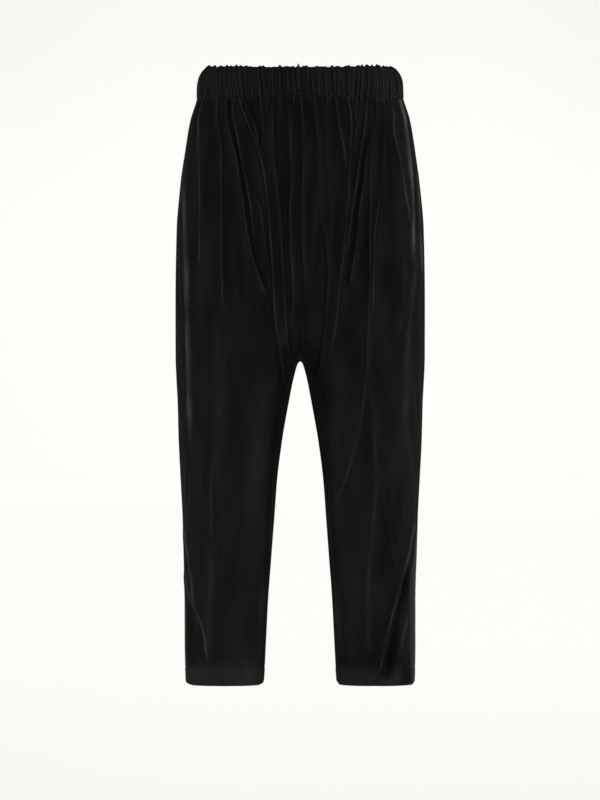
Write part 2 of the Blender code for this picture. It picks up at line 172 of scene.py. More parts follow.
@dataclass(frozen=True)
class Section:
    """Half of the garment at one level.

    The side, over the tape, and the inner leg are measured from the middle of the body,
    and the front and the back from the plane of the side seams.  A row of SECTIONS holds
    the five in the order below.
    """

    drop: float
    side: float
    inner: float
    front: float
    back: float


SECTIONS = tuple(Section(*row) for row in (
    (0.0, 160.0, 0.0, 101.0, 101.0),
    (50.0, 171.0, 0.0, 108.0, 110.0),
    (98.0, 181.8, 0.0, 115.0, 122.0),
    (131.0, 187.0, 0.0, 120.0, 130.0),
    (196.0, 195.8, 0.0, 127.0, 142.0),
    (262.0, 201.5, 0.0, 131.0, 150.0),
    (377.0, 203.4, 0.0, 129.0, 148.0),
    (477.7, 203.2, 0.0, 121.0, 131.0),
    (479.3, 203.1, 2.5, 120.7, 130.5),
    (485.9, 202.9, 5.8, 120.0, 129.0),
    (509.0, 201.8, 12.3, 117.0, 122.5),
    (542.0, 200.0, 18.9, 113.0, 114.0),
    (607.7, 198.2, 30.4, 105.0, 101.0),
    (673.5, 194.9, 38.7, 97.0, 91.0),
    (739.3, 191.6, 43.6, 91.0, 84.0),
    (805.0, 190.0, 48.5, 84.0, 81.0),
    (871.0, 188.6, 53.5, 76.0, 78.0),
    (936.7, 188.4, 56.8, 68.0, 73.0),
    (1007.5, 186.7, 60.2, 60.0, 66.0),
))


@dataclass(frozen=True)
class Leg:
    """One leg: side is -1 on the wearer's right, and turn brings its side seam forward."""

    name: str
    side: int
    turn: float

    @property
    def mirror(self) -> ndarray:
        """What a point in the left leg's frame is multiplied by to lie on this leg."""
        return np.array([self.side, 1.0, 1.0])


LEGS = (
    Leg(name="right", side=-1, turn=3.0),
    Leg(name="left", side=1, turn=24.0),
)


@dataclass(frozen=True)
class GarmentForm:
    """The form without folds, in the left leg's frame, and what its pieces share.

    Folds that start above band_folds run up into the band.
    """

    outseam: float = 1007.5
    waistband_height: float = 50.0
    crotch_drop: float = 477.7
    fork_height: float = 240.0
    fork_power: float = 1.83
    roundness: float = 2.2
    seam_gap: float = 0.3
    band_folds: float = 58.0
    tape_cloth: float = 1.0
    tape_width: float = 36.0
    tape_columns: int = 10
    turn_drops: tuple[float, ...] = (600.0, 690.0, 770.0, 835.0, 885.0, 930.0, 985.0, 1007.5)
    turn_shares: tuple[float, ...] = (0.0, 0.0, 0.6, 1.3, 1.33, 1.1, 0.7, 0.5)
    probe_angle: float = 0.01
    probe_drop: float = 1.0
    fine_steps: int = 240

    def column(self, name: str, drop: ndarray) -> ndarray:
        """One measure of SECTIONS at each drop."""
        drops = [row.drop for row in SECTIONS]
        return smooth_curve(drops, [getattr(row, name) for row in SECTIONS], drop)

    def ring(self, drop: ndarray) -> tuple[ndarray, ndarray]:
        """Centre and half-width of one leg's ring.

        Above the crotch the rings of the two legs cross, and each stops at the middle.

        Args:
            drop: the levels to read.

        Returns:
            The centre and the half-width at each level.
        """
        side = self.column("side", drop) - self.seam_gap - self.tape_cloth
        inner = self.column("inner", drop)
        above = 1.0 - (self.crotch_drop - drop) / self.fork_height
        above = np.clip(above, 0.0, 1.0) ** self.fork_power
        on_trunk = drop < self.crotch_drop
        centre = np.where(on_trunk, side * above / (1.0 + above), (side + inner) / 2.0)
        half = np.where(on_trunk, side / (1.0 + above), (side - inner) / 2.0)
        return centre, half

    def plain(self, angle: ndarray, drop: ndarray) -> ndarray:
        """Points of the form.

        Args:
            angle: 0 at the side seam, a quarter turn at the front, minus that behind.
            drop: how far down each point is.

        Returns:
            The points, with x, y and z in the last axis.
        """
        centre, half = self.ring(drop)
        front = self.column("front", drop)
        back = self.column("back", drop)
        depth = np.where(np.sin(angle) >= 0.0, front, back)
        power = 2.0 / self.roundness
        x = centre + half * signed_power(np.cos(angle), power)
        y = -depth * signed_power(np.sin(angle), power)
        return np.stack([x, y, self.waistband_height / 2.0 - drop], axis=-1)

    def outward(self, angle: ndarray, drop: ndarray) -> ndarray:
        """Unit normals of the form.

        Args:
            angle: as in plain.
            drop: how far down each point is.

        Returns:
            One unit vector for each point.
        """
        step, fall = self.probe_angle, self.probe_drop
        across = self.plain(angle + step, drop) - self.plain(angle - step, drop)
        down = self.plain(angle, drop + fall) - self.plain(angle, drop - fall)
        normal = np.cross(across, down)
        return normal / np.linalg.norm(normal, axis=-1, keepdims=True)

    def side_angle(self, leg: Leg, drop: ndarray) -> ndarray:
        """Where a leg's two panels meet at its side seam.

        Args:
            leg: the leg, for how far its seam is turned forward.
            drop: the levels to read.

        Returns:
            The angle at each level.
        """
        forward = leg.turn * smooth_curve(self.turn_drops, self.turn_shares, drop)
        depth = np.where(forward >= 0.0, self.column("front", drop), self.column("back", drop))
        return signed_power(forward / depth, self.roundness / 2.0)

    def inner_angle(self, face: Face, drop: ndarray) -> ndarray:
        """Where a panel ends at the centre seam, or at the inside leg seam below it.

        Args:
            face: front or back.
            drop: the levels to read.

        Returns:
            The angle at each level.
        """
        centre, half = self.ring(drop)
        share = np.clip(-centre / half, -1.0, 1.0)
        return face.value * np.arccos(signed_power(share, self.roundness / 2.0))

    def rise_drops(self, face: Face, shares: ndarray) -> ndarray:
        """Drops of places along the seam from waistband to crotch.

        Args:
            face: front or back.
            shares: the places, as shares of the seam's length.

        Returns:
            The drop of each place.
        """
        level = self.crotch_drop + self.seam_gap - self.waistband_height
        ease = np.linspace(0.0, 1.0, self.fine_steps)
        drops = self.waistband_height + level * (1.0 - (1.0 - ease) ** 3)
        length = running_length(self.plain(self.inner_angle(face, drops), drops))
        return np.interp(shares, length / length[-1], drops)


# ---------------------------------------------------------------------------
# Folds
# ---------------------------------------------------------------------------


@dataclass(frozen=True)
class Fold:
    """A soft ridge, or a trough where its height is negative.

    It runs down the cloth from start to end, and course says where it is across the
    body at evenly spaced drops between them.  Lean makes its right side steeper, or its
    left side where lean is negative.  Crest paints light along its top, over the half-width
    given after it.  This light is partly the lighter colour of pile that parts on a sharp
    ridge, and partly a painted highlight.  Where crest is negative it is painted shade, as
    in a trough.  The flank value is painted shade beside the top, on the right side of it,
    or on the left where that value is negative.  Fade is the length over which it rises at
    its start and dies away at its end.  A row gives start, end, course, height and width
    in that order, and names the rest.
    """

    start: float
    end: float
    course: tuple[float, ...]
    height: float
    width: float
    lean: float = 0.0
    crest: float = 0.0
    crest_width: float = 1.2
    flank_shade: float = 0.0
    fade: float = 28.0


# The rows of height 1 or -1 whose crest spreads 12 mm or more either side are not folds. They are broad
# patches of painted light, or of painted shade where crest is negative.  Every negative crest is
# painted shade, and the strongest crests, near the sides, are painted highlights.
FRONT_FOLDS = (
    Fold(115, 650, (-182, -188, -186, -183, -181, -180, -178, -177, -176), 5, 6, lean=0.3,
         crest=0.95, crest_width=3.2, fade=110),
    Fold(48, 334, (-157, -161, -161, -161, -160, -160, -160, -161), 5, 6, lean=-0.3, crest=0.7,
         flank_shade=-0.4),
    Fold(50, 396, (-136, -131, -126, -126, -125, -125, -125, -123, -124), 5, 7, crest=0.5),
    Fold(380, 754, (-124, -127, -129, -128, -132, -134, -134, -130, -126), 5, 11, crest=0.1,
         crest_width=8, fade=100),
    Fold(621, 985, (-141, -142, -142, -142, -142, -144, -146, -146, -148), 5, 9, lean=0.2,
         crest=0.24, crest_width=2.4, fade=70),
    Fold(55, 385, (-120, -113, -102, -94, -88, -80, -68, -49), 6, 7, lean=0.5, crest=0.58, flank_shade=0.42),
    Fold(52, 290, (-111, -103, -94, -85, -77, -73), 5, 6, lean=-0.4, crest=0.65, flank_shade=-0.5),
    Fold(53, 519, (-100, -77, -59, -51, -47, -44, -42, -35, -26), 6, 7, lean=0.3, crest=0.65,
         flank_shade=-0.5),
    Fold(204, 381, (-71, -61, -55, -49, -49), 4, 6, lean=0.3, crest=0.4),
    Fold(51, 150, (-93, -72, -63), 4, 5, lean=0.4, crest=0.45, flank_shade=0.3),
    Fold(52, 150, (-65, -59, -63), 4, 5, lean=-0.4, crest=0.5, flank_shade=-0.4),
    Fold(52, 90, (-55, -52, -50), 3, 4, crest=0.45),
    Fold(56, 488, (-45, -44, -41, -35, -30, -28, -26, -23, -11), 6, 7, lean=0.4, crest=0.4, flank_shade=0.4),
    Fold(52, 106, (-32, -31, -28), 3, 4, crest=0.5),
    Fold(52, 425, (-20, -17, -15, -14, -17, -16, -13, -12, -19), 5, 6, lean=-0.3, crest=0.44,
         flank_shade=-0.3),
    Fold(52, 370, (1, 5, 6, 5, 4, 4, 7, 11), 4, 6, lean=0.2, crest=0.4),
    Fold(52, 140, (23, 26, 33), 5, 6, lean=-0.4, crest=0.6),
    Fold(52, 86, (43, 43, 44), 3, 4, crest=0.4),
    Fold(180, 290, (21, 22, 24), 3, 7, crest=0.15, crest_width=3),
    Fold(52, 172, (58, 61, 69, 74), 5, 6, lean=-0.4, crest=0.6),
    Fold(51, 468, (79, 81, 79, 77, 73, 69, 63, 59, 52), 6, 7, lean=0.4, crest=0.56, flank_shade=0.4),
    Fold(53, 118, (92, 88, 81), 4, 5, crest=0.5, flank_shade=0.4),
    Fold(51, 160, (98, 89, 81), 4, 6, crest=0.35),
    Fold(51, 316, (109, 104, 97, 91, 84, 78, 74), 5, 6, lean=0.3, crest=0.65, flank_shade=0.3),
    Fold(50, 112, (125, 123, 120), 4, 5, crest=0.45),
    Fold(105, 368, (114, 105, 100, 94, 90, 84, 78), 6, 6, lean=-0.5, crest=0.5, flank_shade=-0.45),
    Fold(105, 508, (114, 112, 112, 110, 110, 110, 109, 108, 109), 4, 6, crest=0.4, flank_shade=-0.3),
    Fold(50, 424, (137, 136, 133, 129, 123, 118, 117, 116, 114), 6, 7, lean=0.4, crest=0.65, flank_shade=0.5),
    Fold(49, 262, (149, 149, 155, 163, 170, 176), 4, 6, lean=-0.3, crest=0.7),
    Fold(48, 330, (164, 170, 176, 180, 180, 181), 6, 7, lean=-0.3, crest=1.7, crest_width=2.5, fade=70),
    Fold(250, 610, (184, 183, 176, 170, 168, 168), 4, 9, lean=-0.2, crest=0.25, crest_width=4, fade=80),
    Fold(150, 350, (187, 193, 196, 199), 1, 3, crest=0.9, crest_width=1.7),
    Fold(245, 330, (187, 192, 197), -2, 4),
    Fold(262, 445, (166, 167, 167, 163, 156), 2, 9, crest=0.18, crest_width=6),
    Fold(540, 755, (171, 171, 174, 169, 166), 3, 10, lean=-0.2, crest=0.05, crest_width=6, fade=70),
    Fold(250, 532, (34, 43, 45, 43, 40, 33, 22), 5, 8, lean=-0.4, crest=0.25, flank_shade=-0.6),
    Fold(488, 742, (109, 103, 96, 84, 68, 42), 5, 9, lean=-0.3, crest=0.32, crest_width=1.7, fade=45),
    Fold(488, 988, (110, 117, 120, 122, 118, 113, 110, 111, 116), 4, 10, lean=-0.2, crest=0.26,
         crest_width=2.0, fade=110),
    Fold(729, 992, (187, 177, 166, 155, 145, 136, 127), 6, 9, lean=0.5, crest=0.9, crest_width=1.5),
    Fold(800, 1002, (178, 170, 161, 152, 145, 139), -3, 9, crest=-1.0, crest_width=9),
    Fold(866, 998, (178, 169, 158, 148), 3, 6, crest=0.34, crest_width=3.2, fade=45),
    Fold(955, 1030, (173, 172, 171), -1, 8, crest=-0.5, crest_width=7),
    Fold(945, 1060, (112, 112), -1, 40, crest=-0.13, crest_width=42),
    Fold(640, 1000, (152, 147, 143, 138), -1, 20, crest=-0.22, crest_width=19, fade=110),
    Fold(745, 880, (-190, -182, -174, -169), 4, 6, lean=-0.4, crest=0.8, crest_width=1.6),
    Fold(815, 975, (-190, -179, -162, -151, -149), 5, 8, lean=-0.5, crest=0.7, crest_width=1.7),
    Fold(875, 985, (-184, -178, -174), -3, 8, crest=-0.5, crest_width=6),
    Fold(800, 990, (-55, -62, -65, -66), 2, 7, crest=0.4, crest_width=5, fade=90),
    Fold(860, 972, (-84, -88, -84), -2, 12, crest=-0.16, crest_width=10, fade=50),
    Fold(800, 990, (58, 62, 66), 2, 6, crest=0.4, crest_width=4.5, fade=90),
    Fold(440, 800, (-38, -52, -61, -66, -69), 1, 14, crest=0.11, crest_width=15, fade=120),
    Fold(500, 800, (40, 50, 57, 62), 1, 12, crest=0.14, crest_width=12, fade=100),
    Fold(70, 420, (130, 136, 141, 142), -1, 18, crest=-0.42, crest_width=17, fade=60),
    Fold(380, 520, (2, 4, 6), 1, 30, crest=0.17, crest_width=28, fade=60),
)
BACK_FOLDS = (
    Fold(50, 455, (-152, -140, -134), 5, 8, lean=0.3, crest=0.55, flank_shade=0.3, fade=150),
    Fold(50, 330, (-122, -114, -109, -98), 5, 7, lean=0.4, crest=0.6, fade=110),
    Fold(50, 475, (-96, -84, -74, -58, -32), 6, 8, lean=0.4, crest=0.7, flank_shade=0.5, fade=170),
    Fold(50, 270, (-62, -58, -52), 5, 7, lean=0.3, crest=0.65, fade=80),
    Fold(50, 450, (-36, -37, -31, -20), 5, 8, lean=0.2, crest=0.6, flank_shade=-0.3, fade=140),
    Fold(50, 120, (-80, -82, -84), 3, 4, crest=0.45),
    Fold(50, 150, (3, 1, -2), 3, 5, crest=0.45),
    Fold(50, 350, (20, 19, 14), 5, 7, lean=-0.2, crest=0.6, fade=110),
    Fold(50, 468, (50, 49, 40, 20), 5, 8, lean=-0.4, crest=0.7, flank_shade=-0.4, fade=160),
    Fold(50, 290, (76, 71, 62), 5, 7, lean=-0.3, crest=0.55, fade=90),
    Fold(50, 465, (104, 94, 82, 62, 42), 6, 8, lean=-0.4, crest=0.75, flank_shade=-0.5, fade=180),
    Fold(50, 130, (119, 121, 124), 3, 4, crest=0.45),
    Fold(50, 380, (134, 122, 115, 104), 5, 8, lean=-0.4, crest=0.6, fade=120),
    Fold(50, 480, (158, 148, 141, 136), 5, 8, lean=-0.3, crest=0.55, flank_shade=-0.3, fade=150),
    Fold(400, 985, (-134, -124, -120, -124, -128), 5, 12, lean=0.2, crest=0.2, crest_width=2.5, fade=200),
    Fold(420, 985, (136, 122, 118, 122, 126), 5, 12, lean=-0.2, crest=0.2, crest_width=2.5, fade=200),
    Fold(480, 660, (-90, -66, -52), 4, 13, lean=0.3, crest=0.25, fade=80),
    Fold(490, 680, (78, 62, 54), 4, 13, lean=-0.3, crest=0.25, fade=80),
    Fold(625, 765, (-80, -106, -138), 3, 13, lean=0.3, crest=0.35, fade=65),
    Fold(640, 785, (138, 110, 82), 3, 13, lean=-0.3, crest=0.35, fade=65),
    Fold(830, 985, (-92, -100, -112), 4, 11, lean=0.3, crest=0.4, fade=70),
    Fold(815, 975, (150, 142, 132), 4, 10, lean=0.4, crest=0.5, fade=70),
)


@dataclass(frozen=True)
class FoldField:
    """All folds of one face, read at any place on it."""

    folds: tuple[Fold, ...]
    peak_share: float = 0.35
    peak_width: float = 0.4
    lean_share: float = 0.55
    lean_reach: float = 2.0
    crest_mean: float = 0.72
    crest_swing: float = 0.28
    crest_wave: float = 17.0
    crest_shift: float = 2.3
    flank_place: float = 3.2
    flank_width: float = 2.3

    def read(self, x: ndarray, drop: ndarray, top: float) -> tuple[ndarray, ndarray]:
        """Height and crest of the folds.

        Args:
            x: place across the body, towards the wearer's left.
            drop: how far down.
            top: folds that start at or above this drop start at full height.

        Returns:
            The height in millimetres, and the crest, from 0: painted light along the tops, partly for
            pile that parts, and painted shade where it is negative.
        """
        height = np.zeros_like(drop)
        crest = np.zeros_like(drop)
        for number, fold in enumerate(self.folds):
            near = (drop > fold.start - 1.0) & (drop < fold.end)
            depth = drop[near]
            t = (depth - fold.start) / (fold.end - fold.start)
            line = smooth_curve(np.linspace(0.0, 1.0, len(fold.course)), fold.course, t)
            starts = 1.0 if fold.start <= top else smooth_step((depth - fold.start) / fold.fade)
            fade = starts * smooth_step((fold.end - depth) / fold.fade)
            away = x[near] - line
            leaning = self.lean_share * fold.lean * np.tanh(away / self.lean_reach)
            width = fold.width * (1.0 - leaning)
            broad = bell(away / width)
            peak = bell(away / (self.peak_width * width))
            shape = broad + self.peak_share * (peak - broad)
            height[near] += fold.height * fade * shape
            wave = np.sin(depth / self.crest_wave + self.crest_shift * number)
            uneven = self.crest_mean + self.crest_swing * wave
            # Painted light along the top, partly for pile that parts, and painted shade beside it.
            crest[near] += fold.crest * fade * uneven * bell(away / fold.crest_width)
            beside = away - math.copysign(self.flank_place, fold.flank_shade)
            crest[near] -= abs(fold.flank_shade) * fade * bell(beside / self.flank_width)
        return height, crest


@dataclass(frozen=True)
class Gathers:
    """Small gathers along the top of a panel, of uneven length, straight down the cloth."""

    count: int = 30
    height: float = 1.5
    width: float = 1.7
    spread: float = 0.016
    shortest: float = 8.0
    longest: float = 70.0
    # Painted light along each gather, partly for pile that parts, and painted shade in the hollows
    # beside it.
    crest: float = 0.5
    crest_width: float = 1.0
    hollow_shade: float = 0.2
    hollow_place: float = 2.6
    hollow_width: float = 1.2
    jitter: float = 0.35
    length_power: float = 2.6
    height_range: Range = (0.5, 1.2)
    crest_power: float = 1.4
    most_drift: float = 0.07
    sink: float = 0.45
    sink_fade: float = 22.0

    def read(self, arc: ndarray, fall: ndarray, seed: int) -> tuple[ndarray, ndarray]:
        """Height and crest of the gathers.

        Args:
            arc: length along each row from the panel's inner edge.
            fall: how far each point is below the seam.
            seed: which panel this is, so that no two are alike.

        Returns:
            The height in millimetres, and the crest: painted light along each gather and painted shade
                beside it.
        """
        dice = np.random.default_rng(seed)
        wide = arc[:, -1:]
        height = np.zeros_like(arc)
        crest = np.zeros_like(arc)
        for number in range(self.count):
            place = (number + 0.5 + dice.uniform(-self.jitter, self.jitter)) / self.count
            longer = dice.uniform() ** self.length_power
            reach = self.shortest + (self.longest - self.shortest) * longer
            tall = self.height * dice.uniform(*self.height_range)
            light = self.crest * dice.uniform() ** self.crest_power
            drift = dice.uniform(-self.most_drift, self.most_drift)
            away = arc - place * wide - drift * fall
            width = self.width + self.spread * fall
            ridge = dying(fall, reach)
            height += tall * ridge * bell(away / width)
            # Painted light along the gather, and painted shade in the hollows beside it.
            crest += light * ridge * bell(away / self.crest_width)
            beside = (np.abs(away) - self.hollow_place) / self.hollow_width
            crest -= self.hollow_shade * ridge * bell(beside)
        sunk = self.sink * self.height * dying(fall, self.sink_fade)
        return height - sunk, crest


@dataclass(frozen=True)
class Ripples:
    """Slight long ripples that keep the cloth from looking pressed."""

    count: int = 9
    widths: Range = (14.0, 46.0)
    lengths: Range = (150.0, 520.0)
    heights: Range = (0.1, 0.26)

    def read(self, arc: ndarray, drop: ndarray, seed: int) -> ndarray:
        """Height of the ripples.

        Args:
            arc: length along each row from the panel's inner edge.
            drop: how far down each point is.
            seed: which panel this is.

        Returns:
            The height in millimetres.
        """
        dice = np.random.default_rng(seed)
        total = np.zeros_like(arc)
        for _ in range(self.count):
            across = 2.0 * np.pi / dice.uniform(*self.widths)
            down = 2.0 * np.pi / dice.uniform(*self.lengths) * dice.choice([-1.0, 1.0])
            start = dice.uniform(0.0, 2.0 * np.pi)
            total += dice.uniform(*self.heights) * np.sin(arc * across + drop * down + start)
        return total


@dataclass(frozen=True)
class HemRelief:
    """Relief of a hem: the double band, its stitched groove and the puckers there."""

    proud: float = 0.25
    proud_start: float = 1.0
    proud_soft: float = 6.0
    groove: float = 0.3
    groove_width: float = 2.0
    pucker: float = 0.4
    pucker_step: float = 6.5
    pucker_mean: float = 0.6
    pucker_swing: float = 0.4
    pucker_wave: float = 31.0
    warp: float = 3.5
    warp_wave: float = 17.0
    warp_slant: float = 0.1
    most_shift: float = 6.0
    fade_above: float = 16.0
    fade_below: float = 9.0

    def read(self, arc: ndarray, below: ndarray, seed: int, steady: ndarray) -> ndarray:
        """Height of the relief.

        Args:
            arc: length along each row from the panel's inner edge.
            below: how far each point is below the stitching.
            seed: which panel this is.
            steady: 0 at the seams, where both panels must agree, and 1 away from them.

        Returns:
            The height in millimetres.
        """
        dice = np.random.default_rng(seed)
        band = self.proud * smooth_step((below + self.proud_start) / self.proud_soft)
        groove = self.groove * bell(below / self.groove_width)
        warp = self.warp * np.sin(arc / self.warp_wave + dice.uniform(0.0, self.most_shift))
        warp = warp + self.warp_slant * below
        ripple = np.sin((arc + warp) * 2.0 * np.pi / self.pucker_step)
        swing = np.sin(arc / self.pucker_wave + dice.uniform(0.0, self.most_shift))
        uneven = self.pucker_mean + self.pucker_swing * swing
        above_line = dying(-below, self.fade_above)
        below_line = dying(below, self.fade_below)
        return band - groove + self.pucker * uneven * steady * ripple * above_line * below_line


# ---------------------------------------------------------------------------
# Meshes
# ---------------------------------------------------------------------------


@dataclass
class MeshParts:
    """Points in millimetres and faces, joined from several grids.

    Marks holds a number for each point: 0 inside a grid, and the grid's own number along
    its border, where the shell turns sharply from its face to its edge.
    """

    points: list[ndarray]
    faces: list[ndarray]
    marks: list[ndarray]
    count: int = 0

    @classmethod
    def empty(cls) -> "MeshParts":
        """A mesh with nothing in it yet."""
        return cls(points=[], faces=[], marks=[])

    def add_grid(self, grid: ndarray) -> ndarray:
        """Adds a grid's points.

        Args:
            grid: rows by columns by 3.

        Returns:
            The points' numbers, rows by columns.
        """
        rows, columns = grid.shape[:2]
        self.points.append(grid.reshape(-1, 3))
        mark = np.full((rows, columns), len(self.points))
        mark[1:-1, 1:-1] = 0
        self.marks.append(mark.ravel())
        numbers = np.arange(rows * columns).reshape(rows, columns) + self.count
        self.count += rows * columns
        return numbers

    def add_quads(self, numbers: ndarray, flip: bool = False) -> None:
        """Adds the quads between neighbouring rows and columns.

        Args:
            numbers: the points' numbers, rows by columns.
            flip: turns the faces over.
        """
        a, b = numbers[:-1, :-1], numbers[:-1, 1:]
        d, c = numbers[1:, :-1], numbers[1:, 1:]
        quads = np.stack([a, d, c, b], axis=-1).reshape(-1, 4)
        self.faces.append(quads[:, ::-1] if flip else quads)

    def add_rim(self, fine: ndarray, coarse: ndarray, flip: bool = False) -> None:
        """Closes the strip between an edge and one with half as many steps.

        Args:
            fine: numbers of the points of the finer edge.
            coarse: numbers of every second one's partner.
            flip: turns the faces over.
        """
        a, b, c = fine[:-2:2], fine[1:-1:2], fine[2::2]
        d, e = coarse[:-1], coarse[1:]
        faces = [np.stack(corners, axis=-1) for corners in ((a, b, d), (b, e, d), (b, c, e))]
        joined = np.concatenate(faces)
        self.faces.append(joined[:, ::-1] if flip else joined)

    def add_shell(self, outer: ndarray, inner: ndarray) -> None:
        """Adds a closed shell of two faces and the rim between them.

        Args:
            outer: grid of the outer face.
            inner: grid of the inner one, which has half as many steps each way.
        """
        front = self.add_grid(outer)
        behind = self.add_grid(inner)
        self.add_quads(front)
        self.add_quads(behind, flip=True)
        self.add_rim(front[0], behind[0])
        self.add_rim(front[-1], behind[-1], flip=True)
        self.add_rim(front[:, 0], behind[:, 0], flip=True)
        self.add_rim(front[:, -1], behind[:, -1])

    def build(self, name: str, material: Material) -> Object:
        """Makes the object, in metres, with its faces turned outwards.

        Args:
            name: the piece's name.
            material: what it is made of.

        Returns:
            The new object, at the origin.
        """
        points = np.concatenate(self.points)
        volume = 0.0
        for block in self.faces:
            first, second, third = points[block[:, 0]], points[block[:, 1]], points[block[:, 2]]
            volume += np.einsum("ij,ij->i", first, np.cross(second, third)).sum()
            if block.shape[1] == 4:
                fourth = points[block[:, 3]]
                volume += np.einsum("ij,ij->i", first, np.cross(third, fourth)).sum()
        if volume < 0.0:
            self.faces = [block[:, ::-1] for block in self.faces]
        mesh = bpy.data.meshes.new(name)
        corners = np.concatenate([block.ravel() for block in self.faces])
        sizes = np.concatenate([np.full(len(block), block.shape[1]) for block in self.faces])
        starts = np.concatenate([[0], np.cumsum(sizes)[:-1]])
        mesh.vertices.add(len(points))
        mesh.vertices.foreach_set("co", (points * MM).astype(np.float32).ravel())
        mesh.loops.add(len(corners))
        mesh.loops.foreach_set("vertex_index", corners.astype(np.int32))
        mesh.polygons.add(len(sizes))
        mesh.polygons.foreach_set("loop_start", starts.astype(np.int32))
        mesh.update(calc_edges=True)
        mesh.validate()
        mesh.shade_smooth()
        ends = np.zeros(2 * len(mesh.edges), dtype=np.int32)
        mesh.edges.foreach_get("vertices", ends)
        marks = np.concatenate(self.marks)[ends.reshape(-1, 2)]
        sharp = (marks[:, 0] == marks[:, 1]) & (marks[:, 0] > 0)
        mesh.attributes.new("sharp_edge", "BOOLEAN", "EDGE").data.foreach_set("value", sharp)
        mesh.materials.append(material)
        return put_in_scene(name, mesh)


def put_in_scene(name: str, data: bpy.types.ID) -> Object:
    """Makes an object of a mesh, a light or a camera, at the origin."""
    made = bpy.data.objects.new(name, data)
    bpy.context.scene.collection.objects.link(made)
    return made


def add_point_attribute(piece: Object, name: str, values: ndarray) -> None:
    """Writes one number for each point of a piece, for its material to read."""
    layer = piece.data.attributes.new(name, "FLOAT", "POINT")
    layer.data.foreach_set("value", values.astype(np.float32).ravel())


def declare(piece: Object, node: str = "") -> None:
    """Tells the frame about a finished piece, and logs its name and triangles.

    Args:
        piece: the piece, which rides on the only body.
        node: the CAD node that it stands for, if there is one.
    """
    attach(piece, "root")
    if node:
        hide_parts(node)
    piece.data.calc_loop_triangles()
    LOG.info("%s: %d triangles", piece.name, len(piece.data.loop_triangles))


# ---------------------------------------------------------------------------
# Finishes
# ---------------------------------------------------------------------------


def to_linear(colour: str) -> tuple[float, float, float, float]:
    """Turns an sRGB hex colour to linear light, by the standard's own curve.

    Args:
        colour: such as "#1a1a1c".

    Returns:
        Red, green, blue and an alpha of 1.
    """
    channels = [int(colour[i:i + 2], 16) / 255.0 for i in (1, 3, 5)]
    light = [c / 12.92 if c <= 0.04045 else ((c + 0.055) / 1.055) ** 2.4 for c in channels]
    return (light[0], light[1], light[2], 1.0)


def add_node(tree: NodeTree, kind: str, settings: dict | None = None,
             links: dict | None = None) -> Node:
    """Adds a node with its settings and links.

    Args:
        tree: the material's nodes.
        kind: the node's type.
        settings: attributes of the node, or values of its inputs by name or number.
        links: the output that feeds each input, by the input's name or number.

    Returns:
        The new node.
    """
    node = tree.nodes.new(kind)
    for key, value in (settings or {}).items():
        if isinstance(key, str) and hasattr(node, key):
            setattr(node, key, value)
        else:
            node.inputs[key].default_value = value
    for key, output in (links or {}).items():
        tree.links.new(output, node.inputs[key])
    return node


def new_material(name: str, surface: dict) -> tuple[Material, NodeTree, Node]:
    """A new material with only its Principled shader and output.

    Args:
        name: the material's name.
        surface: what the shader's own sockets are set to.

    Returns:
        The material, its nodes, and the shader.
    """
    material = bpy.data.materials.new(name)
    material.use_nodes = True
    tree = material.node_tree
    tree.nodes.clear()
    shader = add_node(tree, "ShaderNodeBsdfPrincipled", surface)
    add_node(tree, "ShaderNodeOutputMaterial", links={"Surface": shader.outputs["BSDF"]})
    return material, tree, shader


